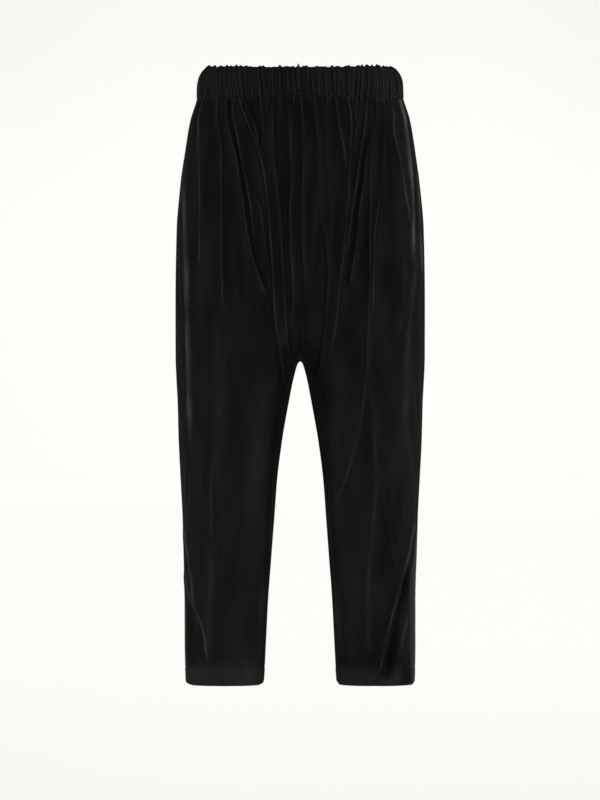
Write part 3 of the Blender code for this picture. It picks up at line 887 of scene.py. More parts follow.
@dataclass(frozen=True)
class VelourFinish:
    """Cut-pile velour, knitted and sheared.

    Its short pile stands up and traps light, so the face is nearly black.  It is lighter
    where it is seen from the side, and where the pile has been brushed the other way.
    The crest attribute paints light and shade into its colour.  Where crest is positive it
    mixes in a colour that is partly that of pile parting along a sharp crease and partly
    a painted highlight.  Where crest is negative it mixes in a painted shade.
    """

    deep: str = "#0a0a0b"
    brushed: str = "#0e0f11"
    # The next colour is partly that of pile that parts on a crease, and partly a painted highlight.
    parted_pile_and_highlight: str = "#312f31"
    # The next colour is a painted shade, for troughs and beside ridges.
    closed: str = "#040404"
    parting_and_highlight_share: float = 0.6
    roughness: float = 0.92
    sheen: float = 0.024
    sheen_roughness: float = 0.3
    sheen_tint: str = "#e2e3e1"
    brush_mark_mm: tuple[float, float, float] = (38.0, 38.0, 150.0)
    brush_range: Range = (0.35, 0.68)
    pile_mm: float = 1.1
    pile_depth_mm: float = 0.25

    def build(self) -> Material:
        """Makes the material.

        Returns:
            The velour, which reads the piece's own crest attribute.
        """
        material, tree, shader = new_material("velour_cut_pile", {
            "Roughness": self.roughness, "Specular IOR Level": 0.0, "Sheen Weight": self.sheen,
            "Sheen Roughness": self.sheen_roughness, "Sheen Tint": to_linear(self.sheen_tint)})
        place = add_node(tree, "ShaderNodeTexCoord").outputs["Object"]
        scale = [1.0 / (size * MM) for size in self.brush_mark_mm]
        brush = add_node(tree, "ShaderNodeMapping", {"Scale": scale}, {"Vector": place})
        marks = add_node(tree, "ShaderNodeTexNoise", {"Scale": 1.0, "Detail": 3.0, "Roughness": 0.55},
                         {"Vector": brush.outputs["Vector"]})
        low, high = self.brush_range
        spread = add_node(tree, "ShaderNodeMapRange", {"From Min": low, "From Max": high},
                          {"Value": marks.outputs["Fac"]})
        base = add_node(tree, "ShaderNodeMix", {"data_type": "RGBA", FIRST: to_linear(self.deep),
                                                SECOND: to_linear(self.brushed)},
                        {"Factor": spread.outputs["Result"]})
        crest = add_node(tree, "ShaderNodeAttribute", {"attribute_name": "crest"}).outputs["Fac"]
        tone = base.outputs[MIXED]
        # Negative crest mixes in the painted shade. Positive crest mixes in the colour that is partly
        # parted pile and partly a painted highlight.
        for share, colour in ((-1.0, self.closed), (self.parting_and_highlight_share, self.parted_pile_and_highlight)):
            amount = add_node(tree, "ShaderNodeMath", {"operation": "MULTIPLY", "use_clamp": True,
                                                       1: share}, {0: crest})
            both = add_node(tree, "ShaderNodeMix",
                            {"data_type": "RGBA", SECOND: to_linear(colour)},
                            {"Factor": amount.outputs["Value"], FIRST: tone})
            tone = both.outputs[MIXED]
        pile = add_node(tree, "ShaderNodeTexNoise",
                        {"Scale": 1.0 / (self.pile_mm * MM), "Detail": 2.0}, {"Vector": place})
        bump = add_node(tree, "ShaderNodeBump",
                        {"Strength": 0.5, "Distance": self.pile_depth_mm * MM},
                        {"Height": pile.outputs["Fac"]})
        tree.links.new(tone, shader.inputs["Base Color"])
        tree.links.new(bump.outputs["Normal"], shader.inputs["Normal"])
        return material


@dataclass(frozen=True)
class TapeFinish:
    """Woven polyester tape with fine ribs across it: smooth, cool and lighter than velour."""

    ground: str = "#09090d"
    raised: str = "#0d0d14"
    roughness: float = 0.55
    specular: float = 0.03
    rib_mm: float = 1.4
    rib_depth_mm: float = 0.12

    def build(self) -> Material:
        """Makes the material.

        Returns:
            The tape's finish, which reads the piece's own map in metres.
        """
        material, tree, shader = new_material("tape_woven_polyester", {
            "Roughness": self.roughness, "Specular IOR Level": self.specular})
        place = add_node(tree, "ShaderNodeTexCoord").outputs["UV"]
        turns = 1.0 / (self.rib_mm * MM)
        ribs = add_node(tree, "ShaderNodeTexWave",
                        {"wave_type": "BANDS", "bands_direction": "Y", "wave_profile": "SIN",
                         "Scale": turns * math.pi / 10.0, "Distortion": 0.6, "Detail": 1.0},
                        {"Vector": place})
        mix = add_node(tree, "ShaderNodeMix", {"data_type": "RGBA", FIRST: to_linear(self.ground),
                                               SECOND: to_linear(self.raised)},
                       {"Factor": ribs.outputs["Fac"]})
        bump = add_node(tree, "ShaderNodeBump",
                        {"Strength": 0.6, "Distance": self.rib_depth_mm * MM},
                        {"Height": ribs.outputs["Fac"]})
        tree.links.new(mix.outputs[MIXED], shader.inputs["Base Color"])
        tree.links.new(bump.outputs["Normal"], shader.inputs["Normal"])
        return material


@dataclass(frozen=True)
class ThreadFinish:
    """Spun polyester sewing thread: a twisted cord that catches a small dull glint."""

    colour: str = "#0b0b0c"
    light: str = "#101012"
    roughness: float = 0.6
    specular: float = 0.1
    twist_mm: float = 0.6

    def build(self) -> Material:
        """Makes the material.

        Returns:
            The thread's finish.
        """
        material, tree, shader = new_material("thread_spun_polyester", {
            "Roughness": self.roughness, "Specular IOR Level": self.specular})
        place = add_node(tree, "ShaderNodeTexCoord").outputs["Object"]
        twist = add_node(tree, "ShaderNodeTexNoise",
                         {"Scale": 1.0 / (self.twist_mm * MM), "Detail": 1.0}, {"Vector": place})
        mix = add_node(tree, "ShaderNodeMix", {"data_type": "RGBA", FIRST: to_linear(self.colour),
                                               SECOND: to_linear(self.light)},
                       {"Factor": twist.outputs["Fac"]})
        tree.links.new(mix.outputs[MIXED], shader.inputs["Base Color"])
        return material


@dataclass(frozen=True)
class BackdropFinish:
    """Matt white studio paint, which gives back nearly all the light that falls on it.

    Each falloff row paints shade over the paint's colour, or light where its share is
    negative.  A row gives the direction (X, Y or Z), where the tone starts to fall, where
    it has fallen fully, both in metres, and the share of the tone that is taken off there.
    """

    name: str
    painted_falloffs: tuple[tuple[str, float, float, float], ...]
    colour: str = "#fdfdfd"

    def build(self) -> Material:
        """Makes the material.

        Returns:
            The paint.
        """
        material, tree, shader = new_material(self.name, {"Roughness": 1.0,
                                                          "Specular IOR Level": 0.0})
        place = add_node(tree, "ShaderNodeTexCoord").outputs["Object"]
        apart = add_node(tree, "ShaderNodeSeparateXYZ", links={"Vector": place})
        paint = add_node(tree, "ShaderNodeRGB")
        paint.outputs["Color"].default_value = to_linear(self.colour)
        tone = paint.outputs["Color"]
        # Painted shade, or painted light where the share is negative, over the paint's colour.
        for direction, start, end, share in self.painted_falloffs:
            fall = add_node(tree, "ShaderNodeMapRange",
                            {"interpolation_type": "SMOOTHSTEP", "From Min": start,
                             "From Max": end, "To Min": 1.0, "To Max": 1.0 - share},
                            {"Value": apart.outputs[direction]})
            both = add_node(tree, "ShaderNodeVectorMath", {"operation": "SCALE"},
                            {0: tone, "Scale": fall.outputs["Result"]})
            tone = both.outputs["Vector"]
        tree.links.new(tone, shader.inputs["Base Color"])
        return material


# ---------------------------------------------------------------------------
# Sub-assemblies
# ---------------------------------------------------------------------------


@dataclass(frozen=True)
class PanelSheet:
    """A finished panel's outer points, their normals and each row's drop at the side."""

    outer: ndarray
    normals: ndarray
    drops: ndarray


@dataclass
class LegPanel:
    """One front or back leg panel: a thin velour shell with its turned-up hem.

    What ends in _calm is the length over which the folds die away, but outline_calm is
    the share of them that is lost where the form faces the side.  A change begins its
    _lead ahead of its line and comes in over its _soft length.
    """

    form: GarmentForm
    leg: Leg
    face: Face
    cloth: float = 2.0
    hem_cloth: float = 3.4
    hem_turn_up: float = 29.0
    hem_roll: float = 1.6
    hem_corner_lift: float = 6.0
    hem_corner_power: int = 20
    # Painted light over the hem, which comes in over hem_soft.
    hem_painted_light: float = 0.2
    hem_soft: float = 30.0
    hem_lead: float = 0.6
    turn_lead: float = 1.5
    turn_soft: float = 3.0
    # Painted light along the top edge, against the shade of the groove under the waistband.
    top_painted_light: float = 0.3
    top_fade: float = 2.5
    seam_dip: float = 0.25
    seam_roll: float = 2.2
    fullness: float = 1.0
    # Painted shade and light by drop: darker at the hips, lighter down the legs.
    tone_drops: tuple[float, ...] = (50.0, 100.0, 160.0, 260.0, 400.0, 550.0, 700.0, 1008.0)
    painted_shade_and_light: tuple[float, ...] = (-0.1, -0.08, -0.05, -0.07, -0.02, 0.02, 0.04, 0.04)
    waist_tuck: float = 2.4
    waist_calm: float = 36.0
    waist_share: float = 0.35
    seam_calm: float = 16.0
    crotch_calm_start: float = 12.0
    crotch_calm: float = 70.0
    centre_calm: float = 26.0
    outline_calm: float = 0.5
    outline_start: float = 0.75
    outline_soft: float = 0.2
    side_blend: float = 4.0
    top_blend: float = 3.0
    tape_lead: float = 3.0
    tape_soft: float = 8.0
    seam_steady: float = 20.0
    gathers_end: float = 112.0
    hem_start: float = 962.0
    row_counts: tuple[int, ...] = (41, 252, 30)
    roll_rows: int = 7
    open_columns: int = 216
    flat_width: float = 0.32
    flat_length: float = 0.99
    flat_area: float = 0.28

    @property
    def node(self) -> str:
        """The node that this piece stands for."""
        return f"panel_{self.face.name.lower()}_{self.leg.name}"

    @property
    def hem_line(self) -> float:
        """Drop of the hem's stitching."""
        return self.form.outseam - self.hem_turn_up

    def levels(self) -> ndarray:
        """Where the rows start at the side seam, closest at the gathers and the hem.

        Returns:
            The drops, from the waistband to the bottom of the hem.
        """
        top = self.form.waistband_height + self.form.seam_gap / 2.0
        bottom = self.form.outseam
        ends = (top, self.gathers_end, self.hem_start, bottom - self.hem_roll)
        rows = [np.linspace(start, end, count, endpoint=False)
                for start, end, count in zip(ends, ends[1:], self.row_counts)]
        turn = np.linspace(0.0, np.pi / 2.0, self.roll_rows)
        return np.concatenate(rows + [bottom - self.hem_roll * (1.0 - np.sin(turn))])

    def places(self) -> tuple[ndarray, ndarray, ndarray, ndarray, ndarray]:
        """Where every grid point lies on the plain form.

        Returns:
            Angle, drop and arc of each point, and each row's inner and side drops.
        """
        form = self.form
        side_drops = self.levels()
        shares = (side_drops - form.waistband_height) / (form.crotch_drop - form.waistband_height)
        inner_drops = np.where(side_drops < form.crotch_drop,
                               form.rise_drops(self.face, np.clip(shares, 0.0, 1.0)), side_drops)
        t = np.linspace(0.0, 1.0, form.fine_steps)
        angles, drops, arcs = [], [], []
        for inner_drop, side_drop in zip(inner_drops, side_drops):
            drop = side_drop + (inner_drop - side_drop) * (1.0 - t) ** 2
            angle = (form.inner_angle(self.face, drop) * (1.0 - t)
                     + form.side_angle(self.leg, drop) * t)
            length = running_length(form.plain(angle, drop))
            open_width = length[-1] - form.tape_width / 2.0
            spread = np.linspace(0.0, open_width, self.open_columns + 1)
            under_tape = np.linspace(open_width, length[-1], form.tape_columns + 1)[1:]
            wanted = np.concatenate([spread, under_tape])
            angles.append(np.interp(wanted, length, angle))
            drops.append(np.interp(wanted, length, drop))
            arcs.append(wanted)
        return np.array(angles), np.array(drops), np.array(arcs), inner_drops, side_drops

    def calm(self, x: ndarray, y: ndarray, normal_x: ndarray, drop: ndarray) -> ndarray:
        """How much of the folds is left near the seams, the crotch and the waist.

        Args:
            x: place across the leg's own frame.
            y: place from front to back.
            normal_x: how far the plain form faces the side there, from -1 to 1.
            drop: how far down.

        Returns:
            The share of each fold's height that is left.
        """
        from_crotch = np.hypot(x, drop - self.form.crotch_drop)
        below = smooth_step((drop - self.form.waistband_height) / self.waist_calm)
        share = smooth_step(np.abs(y) / self.seam_calm)
        sideways = smooth_step((np.abs(normal_x) - self.outline_start) / self.outline_soft)
        share *= 1.0 - self.outline_calm * sideways
        share *= smooth_step((from_crotch - self.crotch_calm_start) / self.crotch_calm)
        return share * (self.waist_share + (1.0 - self.waist_share) * below)

    def sheet(self) -> tuple[PanelSheet, ndarray, ndarray]:
        """Works out the outer sheet.

        Returns:
            The sheet, the crest of each point, and the inner wall's depth at each point.
        """
        form = self.form
        angle, drop, arc, inner_drops, side_drops = self.places()
        place = form.plain(angle, drop)
        normal = form.outward(angle, drop)
        x, y = place[..., 0], place[..., 1]
        normal[..., 0] *= smooth_step(np.abs(x) / self.centre_calm)
        normal /= np.linalg.norm(normal, axis=-1, keepdims=True)
        seed = 10 * (self.leg.side + 2) + self.face.value + 1
        fall = drop - form.waistband_height
        below_line = drop - self.hem_line
        front, back = (FoldField(folds).read(self.leg.side * x, drop, form.band_folds)
                       for folds in (FRONT_FOLDS, BACK_FOLDS))
        lift = np.where(y < 0.0, front[0], back[0])
        crest = np.where(y < 0.0, front[1], back[1])
        lift *= self.calm(x, y, normal[..., 0], drop)
        crest *= smooth_step(np.abs(y) / self.side_blend) * smooth_step(fall / self.top_blend)
        gathers, gather_crest = Gathers().read(arc, fall, seed)
        from_tape = arc[:, -1:] - arc - form.tape_width / 2.0
        off_tape = smooth_step((from_tape + self.tape_lead) / self.tape_soft)
        lift += gathers * off_tape
        crest += gather_crest * off_tape
        lift += self.fullness - self.waist_tuck * (1.0 - smooth_step(fall / self.waist_calm))
        steady = smooth_step(arc / self.seam_steady) * off_tape
        lift += Ripples().read(arc, drop, seed) * steady
        lift -= self.seam_dip * bell(arc / self.seam_roll)
        lift += HemRelief().read(arc, below_line, seed, steady)
        # Painted shade at the hips and painted light down the legs, then painted light over the hem and
        # along the top edge.
        crest += smooth_curve(self.tone_drops, self.painted_shade_and_light, drop)
        crest += self.hem_painted_light * smooth_step(below_line / self.hem_soft + self.hem_lead)
        crest += self.top_painted_light * np.exp(-fall / self.top_fade)
        rolled = np.maximum(drop - (form.outseam - self.hem_roll), 0.0)
        inset = self.hem_roll - np.sqrt(np.maximum(self.hem_roll ** 2 - rolled ** 2, 0.0))
        outer = place + normal * (lift - inset)[..., None]
        rise = smooth_step(below_line / self.hem_turn_up)
        outer[..., 2] += self.hem_corner_lift * rise * np.abs(np.cos(angle)) ** self.hem_corner_power
        outer[inner_drops < form.crotch_drop, 0, 0] = 0.0
        doubled = smooth_step((below_line + self.turn_lead) / self.turn_soft)
        depth = self.cloth + (self.hem_cloth - self.cloth) * doubled - 2.0 * inset
        normals = grid_normals(outer)
        normals *= np.sign(np.sum(normals * normal, axis=-1, keepdims=True))
        return PanelSheet(outer=outer, normals=normals, drops=side_drops), crest, depth

    def build(self, material: Material) -> tuple[Object, PanelSheet]:
        """Args:
            material: the velour.

        Returns:
            The piece, and its outer sheet in the leg's own frame.
        """
        sheet, crest, depth = self.sheet()
        inner = (sheet.outer - sheet.normals * depth[..., None])[::2, ::2]
        inner[:, 0, 0] = np.maximum(inner[:, 0, 0], 0.0)
        parts = MeshParts.empty()
        parts.add_shell(sheet.outer * self.leg.mirror, inner * self.leg.mirror)
        piece = parts.build(f"velour_{self.node}", material)
        no_crest = np.zeros(inner.shape[0] * inner.shape[1])
        add_point_attribute(piece, "crest", np.concatenate([crest.ravel(), no_crest]))
        declare(piece, self.node)
        return piece, sheet


@dataclass
class Waistband:
    """The elasticated band: one closed ring of velour drawn up into small gathers.

    Each row of its outline is a drop, an inset, and how much of the gathers shows there.
    What starts with fold_ is for the gathers that the body's folds make, and what starts
    with seam_ or pucker_ is for the stitched line along the lower edge.
    """

    form: GarmentForm
    gathers: int = 165
    columns: int = 1320
    gather_height: float = 1.5
    gather_mean: float = 0.3
    fold_gather: float = 1.0
    # fold_light and light are painted light along the gathers' tops, partly for pile that parts there.
    fold_light: float = 0.32
    most_slip: float = 4.5
    jitter: float = 0.35
    heights: Range = (0.3, 1.0)
    light: float = 0.42
    light_power: float = 2.2
    middles: Range = (-1.0, 1.0)
    fold_middles: Range = (-0.3, 1.0)
    reaches: Range = (0.5, 1.6)
    fold_reaches: Range = (0.9, 2.0)
    widths: Range = (1.5, 2.7)
    most_bend: float = 1.6
    crest_width: float = 1.0
    # Painted shade beside each gather.
    hollow_shade: float = 0.3
    hollow_place: float = 2.4
    hollow_width: float = 1.1
    seed: int = 5
    fold_least: float = 2.0
    # Painted light over the whole band for the sheen on its gathers. Then painted light along its lower
    # edge, where the groove under it is in shade, and painted shade in the puckers at the seam.
    tone: float = 0.1
    seam_light: float = 0.22
    seam_light_drop: float = 49.5
    seam_light_fade: float = 2.0
    seam_shade: float = 0.2
    side_rise: float = 3.4
    rise_start: float = 40.0
    rise_span: float = 110.0
    side_lean: float = 11.0
    lean_start: float = 110.0
    lean_span: float = 55.0
    lean_fade: float = 9.0
    rim_lift: float = 4.2
    rim_fade: float = 6.0
    ring_steps: int = 44
    loop_steps: int = 3840
    seam_drop: float = 47.0
    seam_fade: float = 4.0
    seam_wave: float = 0.6
    seam_wave_step: float = 4.4
    seam_wave_slip: float = 1.7
    pucker_height: float = 0.4
    pucker_step: float = 2.2
    pucker_drift: float = 3.0
    pucker_drift_step: float = 25.0
    flat_width: float = 1.02
    flat_length: float = 0.056
    outline: tuple[tuple[float, float, float], ...] = (
        (49.7, 3.2, 0.6),
        (48.9, 2.2, 0.8),
        (45.0, 1.7, 0.9),
        (40.0, 1.9, 0.9),
        (24.0, 2.5, 1.0),
        (10.0, 4.9, 1.0),
        (3.6, 8.2, 1.0),
        (1.2, 12.0, 0.9),
        (4.5, 15.5, 0.3),
        (24.0, 8.6, 0.3),
        (44.0, 6.8, 0.3),
        (49.7, 6.4, 0.3),
    )

    def profile(self) -> tuple[ndarray, ndarray, ndarray]:
        """Reads the outline at evenly spaced places.

        Returns:
            The drop, the inset and the gathers' share of each place.
        """
        rows = np.array(self.outline)
        length = running_length(rows[:, :2])
        wanted = np.linspace(0.0, length[-1], self.ring_steps)
        drops, insets, shows = (smooth_curve(length, column, wanted) for column in rows.T)
        return drops, insets, shows

    def fold_places(self, x: ndarray, y: ndarray, along: ndarray) -> list[tuple[float, float]]:
        """Where the folds of the body run up into the band.

        Args:
            x: places across the body, round the band.
            y: places from front to back, round the band.
            along: length round the band at those places.

        Returns:
            For each such fold, its length round the band and its slip to each side.
        """
        found = []
        for folds, face, turned in ((FRONT_FOLDS, y < 0.0, -1.0), (BACK_FOLDS, y >= 0.0, 1.0)):
            order = np.argsort(x[face])
            for fold in folds:
                if fold.start < self.form.band_folds and fold.height > self.fold_least:
                    place = np.interp(fold.course[0], x[face][order], along[face][order])
                    step = (fold.end - fold.start) / (len(fold.course) - 1)
                    slope = (fold.course[1] - fold.course[0]) / step
                    slip = turned * slope * self.form.waistband_height / 2.0
                    found.append((place, float(np.clip(slip, -self.most_slip, self.most_slip))))
        return found

    def relief(self, along: ndarray, whole: float, down: ndarray,
               folds: list[tuple[float, float]]) -> tuple[ndarray, ndarray]:
        """Height of the gathers, and the light and shade painted on them.

        Args:
            along: length round the band, one row.
            whole: the band's whole length.
            down: place down the band, one column, from -1 at the top to 1 at the seam.
            folds: length round the band and slip of each gather that a fold makes.

        Returns:
            The height, as a share of gather_height, and the crest: painted light along the tops, partly
            for pile that parts, and painted shade beside them.
        """
        dice = np.random.default_rng(self.seed)
        height = np.full((len(down), along.shape[-1]), -self.gather_mean)
        crest = np.zeros_like(height)
        small = [((number + 0.5 + dice.uniform(-self.jitter, self.jitter)) / self.gathers * whole,
                  dice.uniform(-self.most_slip, self.most_slip), dice.uniform(*self.heights),
                  self.light * dice.uniform() ** self.light_power)
                 for number in range(self.gathers)]
        made = [(place, slip, self.fold_gather, self.fold_light) for place, slip in folds]
        for number, (place, slip, tall, light) in enumerate(small + made):
            of_a_fold = number >= self.gathers
            middle = dice.uniform(*(self.fold_middles if of_a_fold else self.middles))
            reach = dice.uniform(*(self.fold_reaches if of_a_fold else self.reaches))
            width = dice.uniform(*self.widths)
            bend = dice.uniform(-self.most_bend, self.most_bend)
            line = place + slip * (down - 1.0) + bend * (down ** 2 - 1.0)
            away = np.mod(along - line + whole / 2.0, whole) - whole / 2.0
            share = bell((down - middle) / reach)
            height += tall * share * bell(away / width)
            # Painted light along the top, and painted shade in the hollows beside it.
            crest += light * share * bell(away / self.crest_width)
            beside = (np.abs(away) - self.hollow_place) / self.hollow_width
            crest -= self.hollow_shade * tall * share * bell(beside)
        return height, crest

    def build(self, material: Material) -> Object:
        """Args:
            material: the velour.

        Returns:
            The piece.
        """
        form = self.form
        base = SECTIONS[1]
        turn = np.linspace(0.0, 2.0 * np.pi, self.loop_steps + 1)
        power = 2.0 / form.roundness
        depth = np.where(np.sin(turn) >= 0.0, base.front, base.back)
        loop = np.stack([base.side * signed_power(np.cos(turn), power),
                         -depth * signed_power(np.sin(turn), power)], axis=-1)
        length = running_length(loop)
        along = np.arange(self.columns) / self.columns * length[-1]
        turn_at = np.interp(along, length, turn)
        x = np.interp(turn_at, turn, loop[:, 0])
        y = np.interp(turn_at, turn, loop[:, 1])
        normal = np.stack([x / base.side ** 2, y / base.front ** 2], axis=-1)
        normal /= np.linalg.norm(normal, axis=1, keepdims=True)
        drops, insets, shows = self.profile()
        down = np.clip(drops / form.waistband_height * 2.0 - 1.0, -1.0, 1.0)[:, None]
        ridge, crest = self.relief(along[None, :], length[-1], down, self.fold_places(x, y, along))
        outside = np.arange(self.ring_steps) < np.argmin(drops)
        near_seam = (bell((drops - self.seam_drop) / self.seam_fade) * outside)[:, None]
        drift = self.pucker_drift * np.sin(along / self.pucker_drift_step)
        pucker = np.sin(along / self.pucker_step + drift)[None, :]
        at_side = smooth_step((np.abs(x) - self.lean_start) / self.lean_span)[None, :]
        lean = self.side_lean * np.exp(-drops / self.lean_fade)[:, None] * at_side
        move = ridge * shows[:, None] * self.gather_height - insets[:, None] - lean
        move += self.pucker_height * near_seam * pucker
        at_rim = bell(drops / self.rim_fade)[:, None]
        z = form.waistband_height / 2.0 - drops[:, None] + at_rim * ridge * self.rim_lift
        wave = np.sin(along / self.seam_wave_step + self.seam_wave_slip * pucker)
        z = z + self.seam_wave * near_seam * wave
        rising = smooth_step((np.abs(x) - self.rise_start) / self.rise_span)[None, :]
        z = z + self.side_rise * rising * smooth_step(1.0 - drops / form.waistband_height)[:, None]
        grid = np.stack([x + normal[:, 0] * move, y + normal[:, 1] * move, z], axis=-1)
        parts = MeshParts.empty()
        numbers = parts.add_grid(grid)
        parts.marks[0][:] = 0
        closed = np.concatenate([numbers, numbers[:1]], axis=0)
        closed = np.concatenate([closed, closed[:, :1]], axis=1)
        parts.add_quads(closed)
        piece = parts.build("velour_waistband", material)
        # Painted light over the band and along its lower edge, and painted shade in the puckers at the
        # seam.
        edge = bell((drops - self.seam_light_drop) / self.seam_light_fade)[:, None]
        shade = self.seam_shade * near_seam * smooth_step(pucker)
        crest += self.tone + self.seam_light * edge - shade
        crest *= outside[:, None]
        add_point_attribute(piece, "crest", crest)
        declare(piece, "waistband")
        return piece


@dataclass
class SideTape:
    """The woven tape over a side seam, laid on the two panels' own points."""

    form: GarmentForm
    leg: Leg
    edge_cloth: float = 0.55
    edge_power: int = 10
    groove: float = 0.25
    groove_place: float = 0.88
    groove_width: float = 0.07
    flat_width: float = 0.036
    flat_length: float = 0.962

    @property
    def node(self) -> str:
        """The node that this piece stands for."""
        return f"side_tape_{self.leg.name}"

    def over_seam(self, front: ndarray, middle: ndarray, back: ndarray) -> ndarray:
        """Columns from the front panel's edge, over the seam, to the back panel's edge."""
        under = slice(-self.form.tape_columns - 1, -1)
        return np.concatenate([front[:, under], middle, back[:, under][:, ::-1]], axis=1)

    def build(self, front: PanelSheet, back: PanelSheet,
              material: Material) -> tuple[Object, ndarray, ndarray]:
        """Args:
            front: the front panel's sheet.
            back: the back panel's sheet.
            material: the tape's finish.

        Returns:
            The piece, its outer points and their normals, in the leg's own frame.
        """
        gap, cloth = self.form.seam_gap, self.form.tape_cloth
        middle = (front.outer[:, -1:] + back.outer[:, -1:]) / 2.0
        points = self.over_seam(front.outer, middle, back.outer)
        middle_normal = front.normals[:, -1:] + back.normals[:, -1:]
        normals = self.over_seam(front.normals, middle_normal, back.normals)
        normals /= np.linalg.norm(normals, axis=-1, keepdims=True)
        place = np.abs(np.linspace(-1.0, 1.0, points.shape[1]))
        thick = self.edge_cloth + (cloth - self.edge_cloth) * (1.0 - place ** self.edge_power)
        thick -= self.groove * bell((place - self.groove_place) / self.groove_width)
        under = points + normals * gap
        over = points + normals * (gap + thick)[None, :, None]
        parts = MeshParts.empty()
        parts.add_shell(over * self.leg.mirror, (under * self.leg.mirror)[::2, ::2])
        piece = parts.build(f"woven_{self.node}", material)
        self.unwrap(piece, front.drops, points.shape[1])
        declare(piece, self.node)
        return piece, over, normals

    def unwrap(self, piece: Object, drops: ndarray, columns: int) -> None:
        """Gives the tape a flat map in metres, so that its ribs run straight across it.

        Args:
            piece: the tape.
            drops: how far down each row is.
            columns: points across the outer face.
        """
        across = np.linspace(0.0, self.flat_width, columns)
        fine = np.stack(np.meshgrid(across, drops * MM), axis=-1)
        flat = np.concatenate([fine.reshape(-1, 2), fine[::2, ::2].reshape(-1, 2)])
        layer = piece.data.uv_layers.new(name="tape_map")
        corner = np.zeros(len(piece.data.loops), dtype=np.int32)
        piece.data.loops.foreach_get("vertex_index", corner)
        layer.data.foreach_set("uv", flat[corner].astype(np.float32).ravel())


@dataclass
class Stitching:
    """Rows of lockstitch: one stitch, modelled once and copied along a line."""

    length: float = 2.6
    pitch: float = 3.4
    thick: float = 0.36
    sink: float = 0.14

    def one_stitch(self) -> tuple[ndarray, list[tuple[int, ...]]]:
        """One stitch, along X with +Z away from the cloth.

        Its points and faces are put in order of place, so that every run gives the same.

        Returns:
            Its points in millimetres and its faces.
        """
        bpy.ops.object.select_all(action="DESELECT")
        bpy.ops.mesh.primitive_uv_sphere_add(segments=6, ring_count=4, radius=0.5,
                                             rotation=(0.0, math.pi / 2.0, 0.0))
        stitch = bpy.context.active_object
        bpy.ops.object.transform_apply(location=True, rotation=True, scale=True)
        points = np.array([vertex.co[:] for vertex in stitch.data.vertices])
        points *= np.array([self.length, self.thick, self.thick])
        order = np.lexsort(points.T)
        rank = np.argsort(order)
        rings = [rank[list(face.vertices)].tolist() for face in stitch.data.polygons]
        starts = [ring.index(min(ring)) for ring in rings]
        faces = sorted(tuple(ring[start:] + ring[:start]) for ring, start in zip(rings, starts))
        bpy.data.objects.remove(stitch, do_unlink=True)
        return points[order], faces

    def sew(self, name: str, lines: Sequence[tuple[ndarray, ndarray]],
            material: Material) -> Object:
        """Sews along each line.

        Args:
            name: the piece's name.
            lines: points and outward normals of each line, in millimetres.
            material: the thread.

        Returns:
            One piece with every stitch.
        """
        shape, faces = self.one_stitch()
        points, corners, count = [], [], 0
        for line, normals in lines:
            length = running_length(line)
            for start in np.arange(self.pitch / 2.0, length[-1] - self.pitch / 2.0, self.pitch):
                ends = [np.array([np.interp(at, length, line[:, i]) for i in range(3)])
                        for at in (start, start + self.length)]
                middle = (ends[0] + ends[1]) / 2.0
                along = (ends[1] - ends[0]) / np.linalg.norm(ends[1] - ends[0])
                out = np.array([np.interp(start, length, normals[:, i]) for i in range(3)])
                out -= along * np.dot(out, along)
                out /= np.linalg.norm(out)
                side = np.cross(out, along)
                turned = shape[:, :1] * along + shape[:, 1:2] * side + shape[:, 2:] * out
                points.append(turned + middle + out * (self.thick / 2.0 - self.sink))
                corners += [tuple(index + count for index in face) for face in faces]
                count += len(shape)
        mesh = bpy.data.meshes.new(name)
        mesh.from_pydata((np.concatenate(points) * MM).tolist(), [], corners)
        mesh.update()
        mesh.shade_smooth()
        mesh.materials.append(material)
        piece = put_in_scene(name, mesh)
        declare(piece)
        return piece


@dataclass
class TrackPants:
    """The whole garment, sewn together from its pieces."""

    form: GarmentForm
    velour: Material
    tape: Material
    thread: Material

    def build(self) -> None:
        """Builds every piece of the garment, each of which declares itself."""
        cut = Waistband(self.form)
        band = cut.build(self.velour)
        for leg in LEGS:
            self.build_leg(leg)

    def build_leg(self, leg: Leg) -> None:
        """Builds one leg: its two panels, its tape and its stitches.

        Args:
            leg: which leg.
        """
        cuts = [LegPanel(self.form, leg, face) for face in Face]
        panels, sheets = zip(*(cut.build(self.velour) for cut in cuts))
        tape_cut = SideTape(self.form, leg)
        tape, over, normals = tape_cut.build(*sheets, self.tape)
        edges = [(over[:, column] * leg.mirror, normals[:, column] * leg.mirror)
                 for column in (1, -2)]
        edge_stitches = Stitching().sew(f"stitches_tape_{leg.name}", edges, self.thread)
        row = int(np.argmin(np.abs(sheets[0].drops - cuts[0].hem_line)))
        seen = slice(-self.form.tape_columns)
        hems = [(sheet.outer[row, seen] * leg.mirror, sheet.normals[row, seen] * leg.mirror)
                for sheet in sheets]
        hem_stitches = Stitching().sew(f"stitches_hem_{leg.name}", hems, self.thread)


@dataclass(frozen=True)
class SoftLight:
    """A rectangular soft light: its place and size in metres, its watts and its sRGB hex."""

    name: str
    place: tuple[float, float, float]
    size: tuple[float, float]
    power: float
    colour: str

    def build(self, target: tuple[float, float, float]) -> Object:
        """Makes the light.

        Args:
            target: the place that it is turned to, in metres.

        Returns:
            The light.
        """
        data = bpy.data.lights.new(self.name, "AREA")
        data.shape = "RECTANGLE"
        data.size, data.size_y = self.size
        data.energy = self.power
        data.color = to_linear(self.colour)[:3]
        made = put_in_scene(self.name, data)
        made.location = self.place
        toward = Vector(target) - Vector(self.place)
        made.rotation_euler = toward.to_track_quat("-Z", "Y").to_euler()
        made.visible_camera = False
        return made


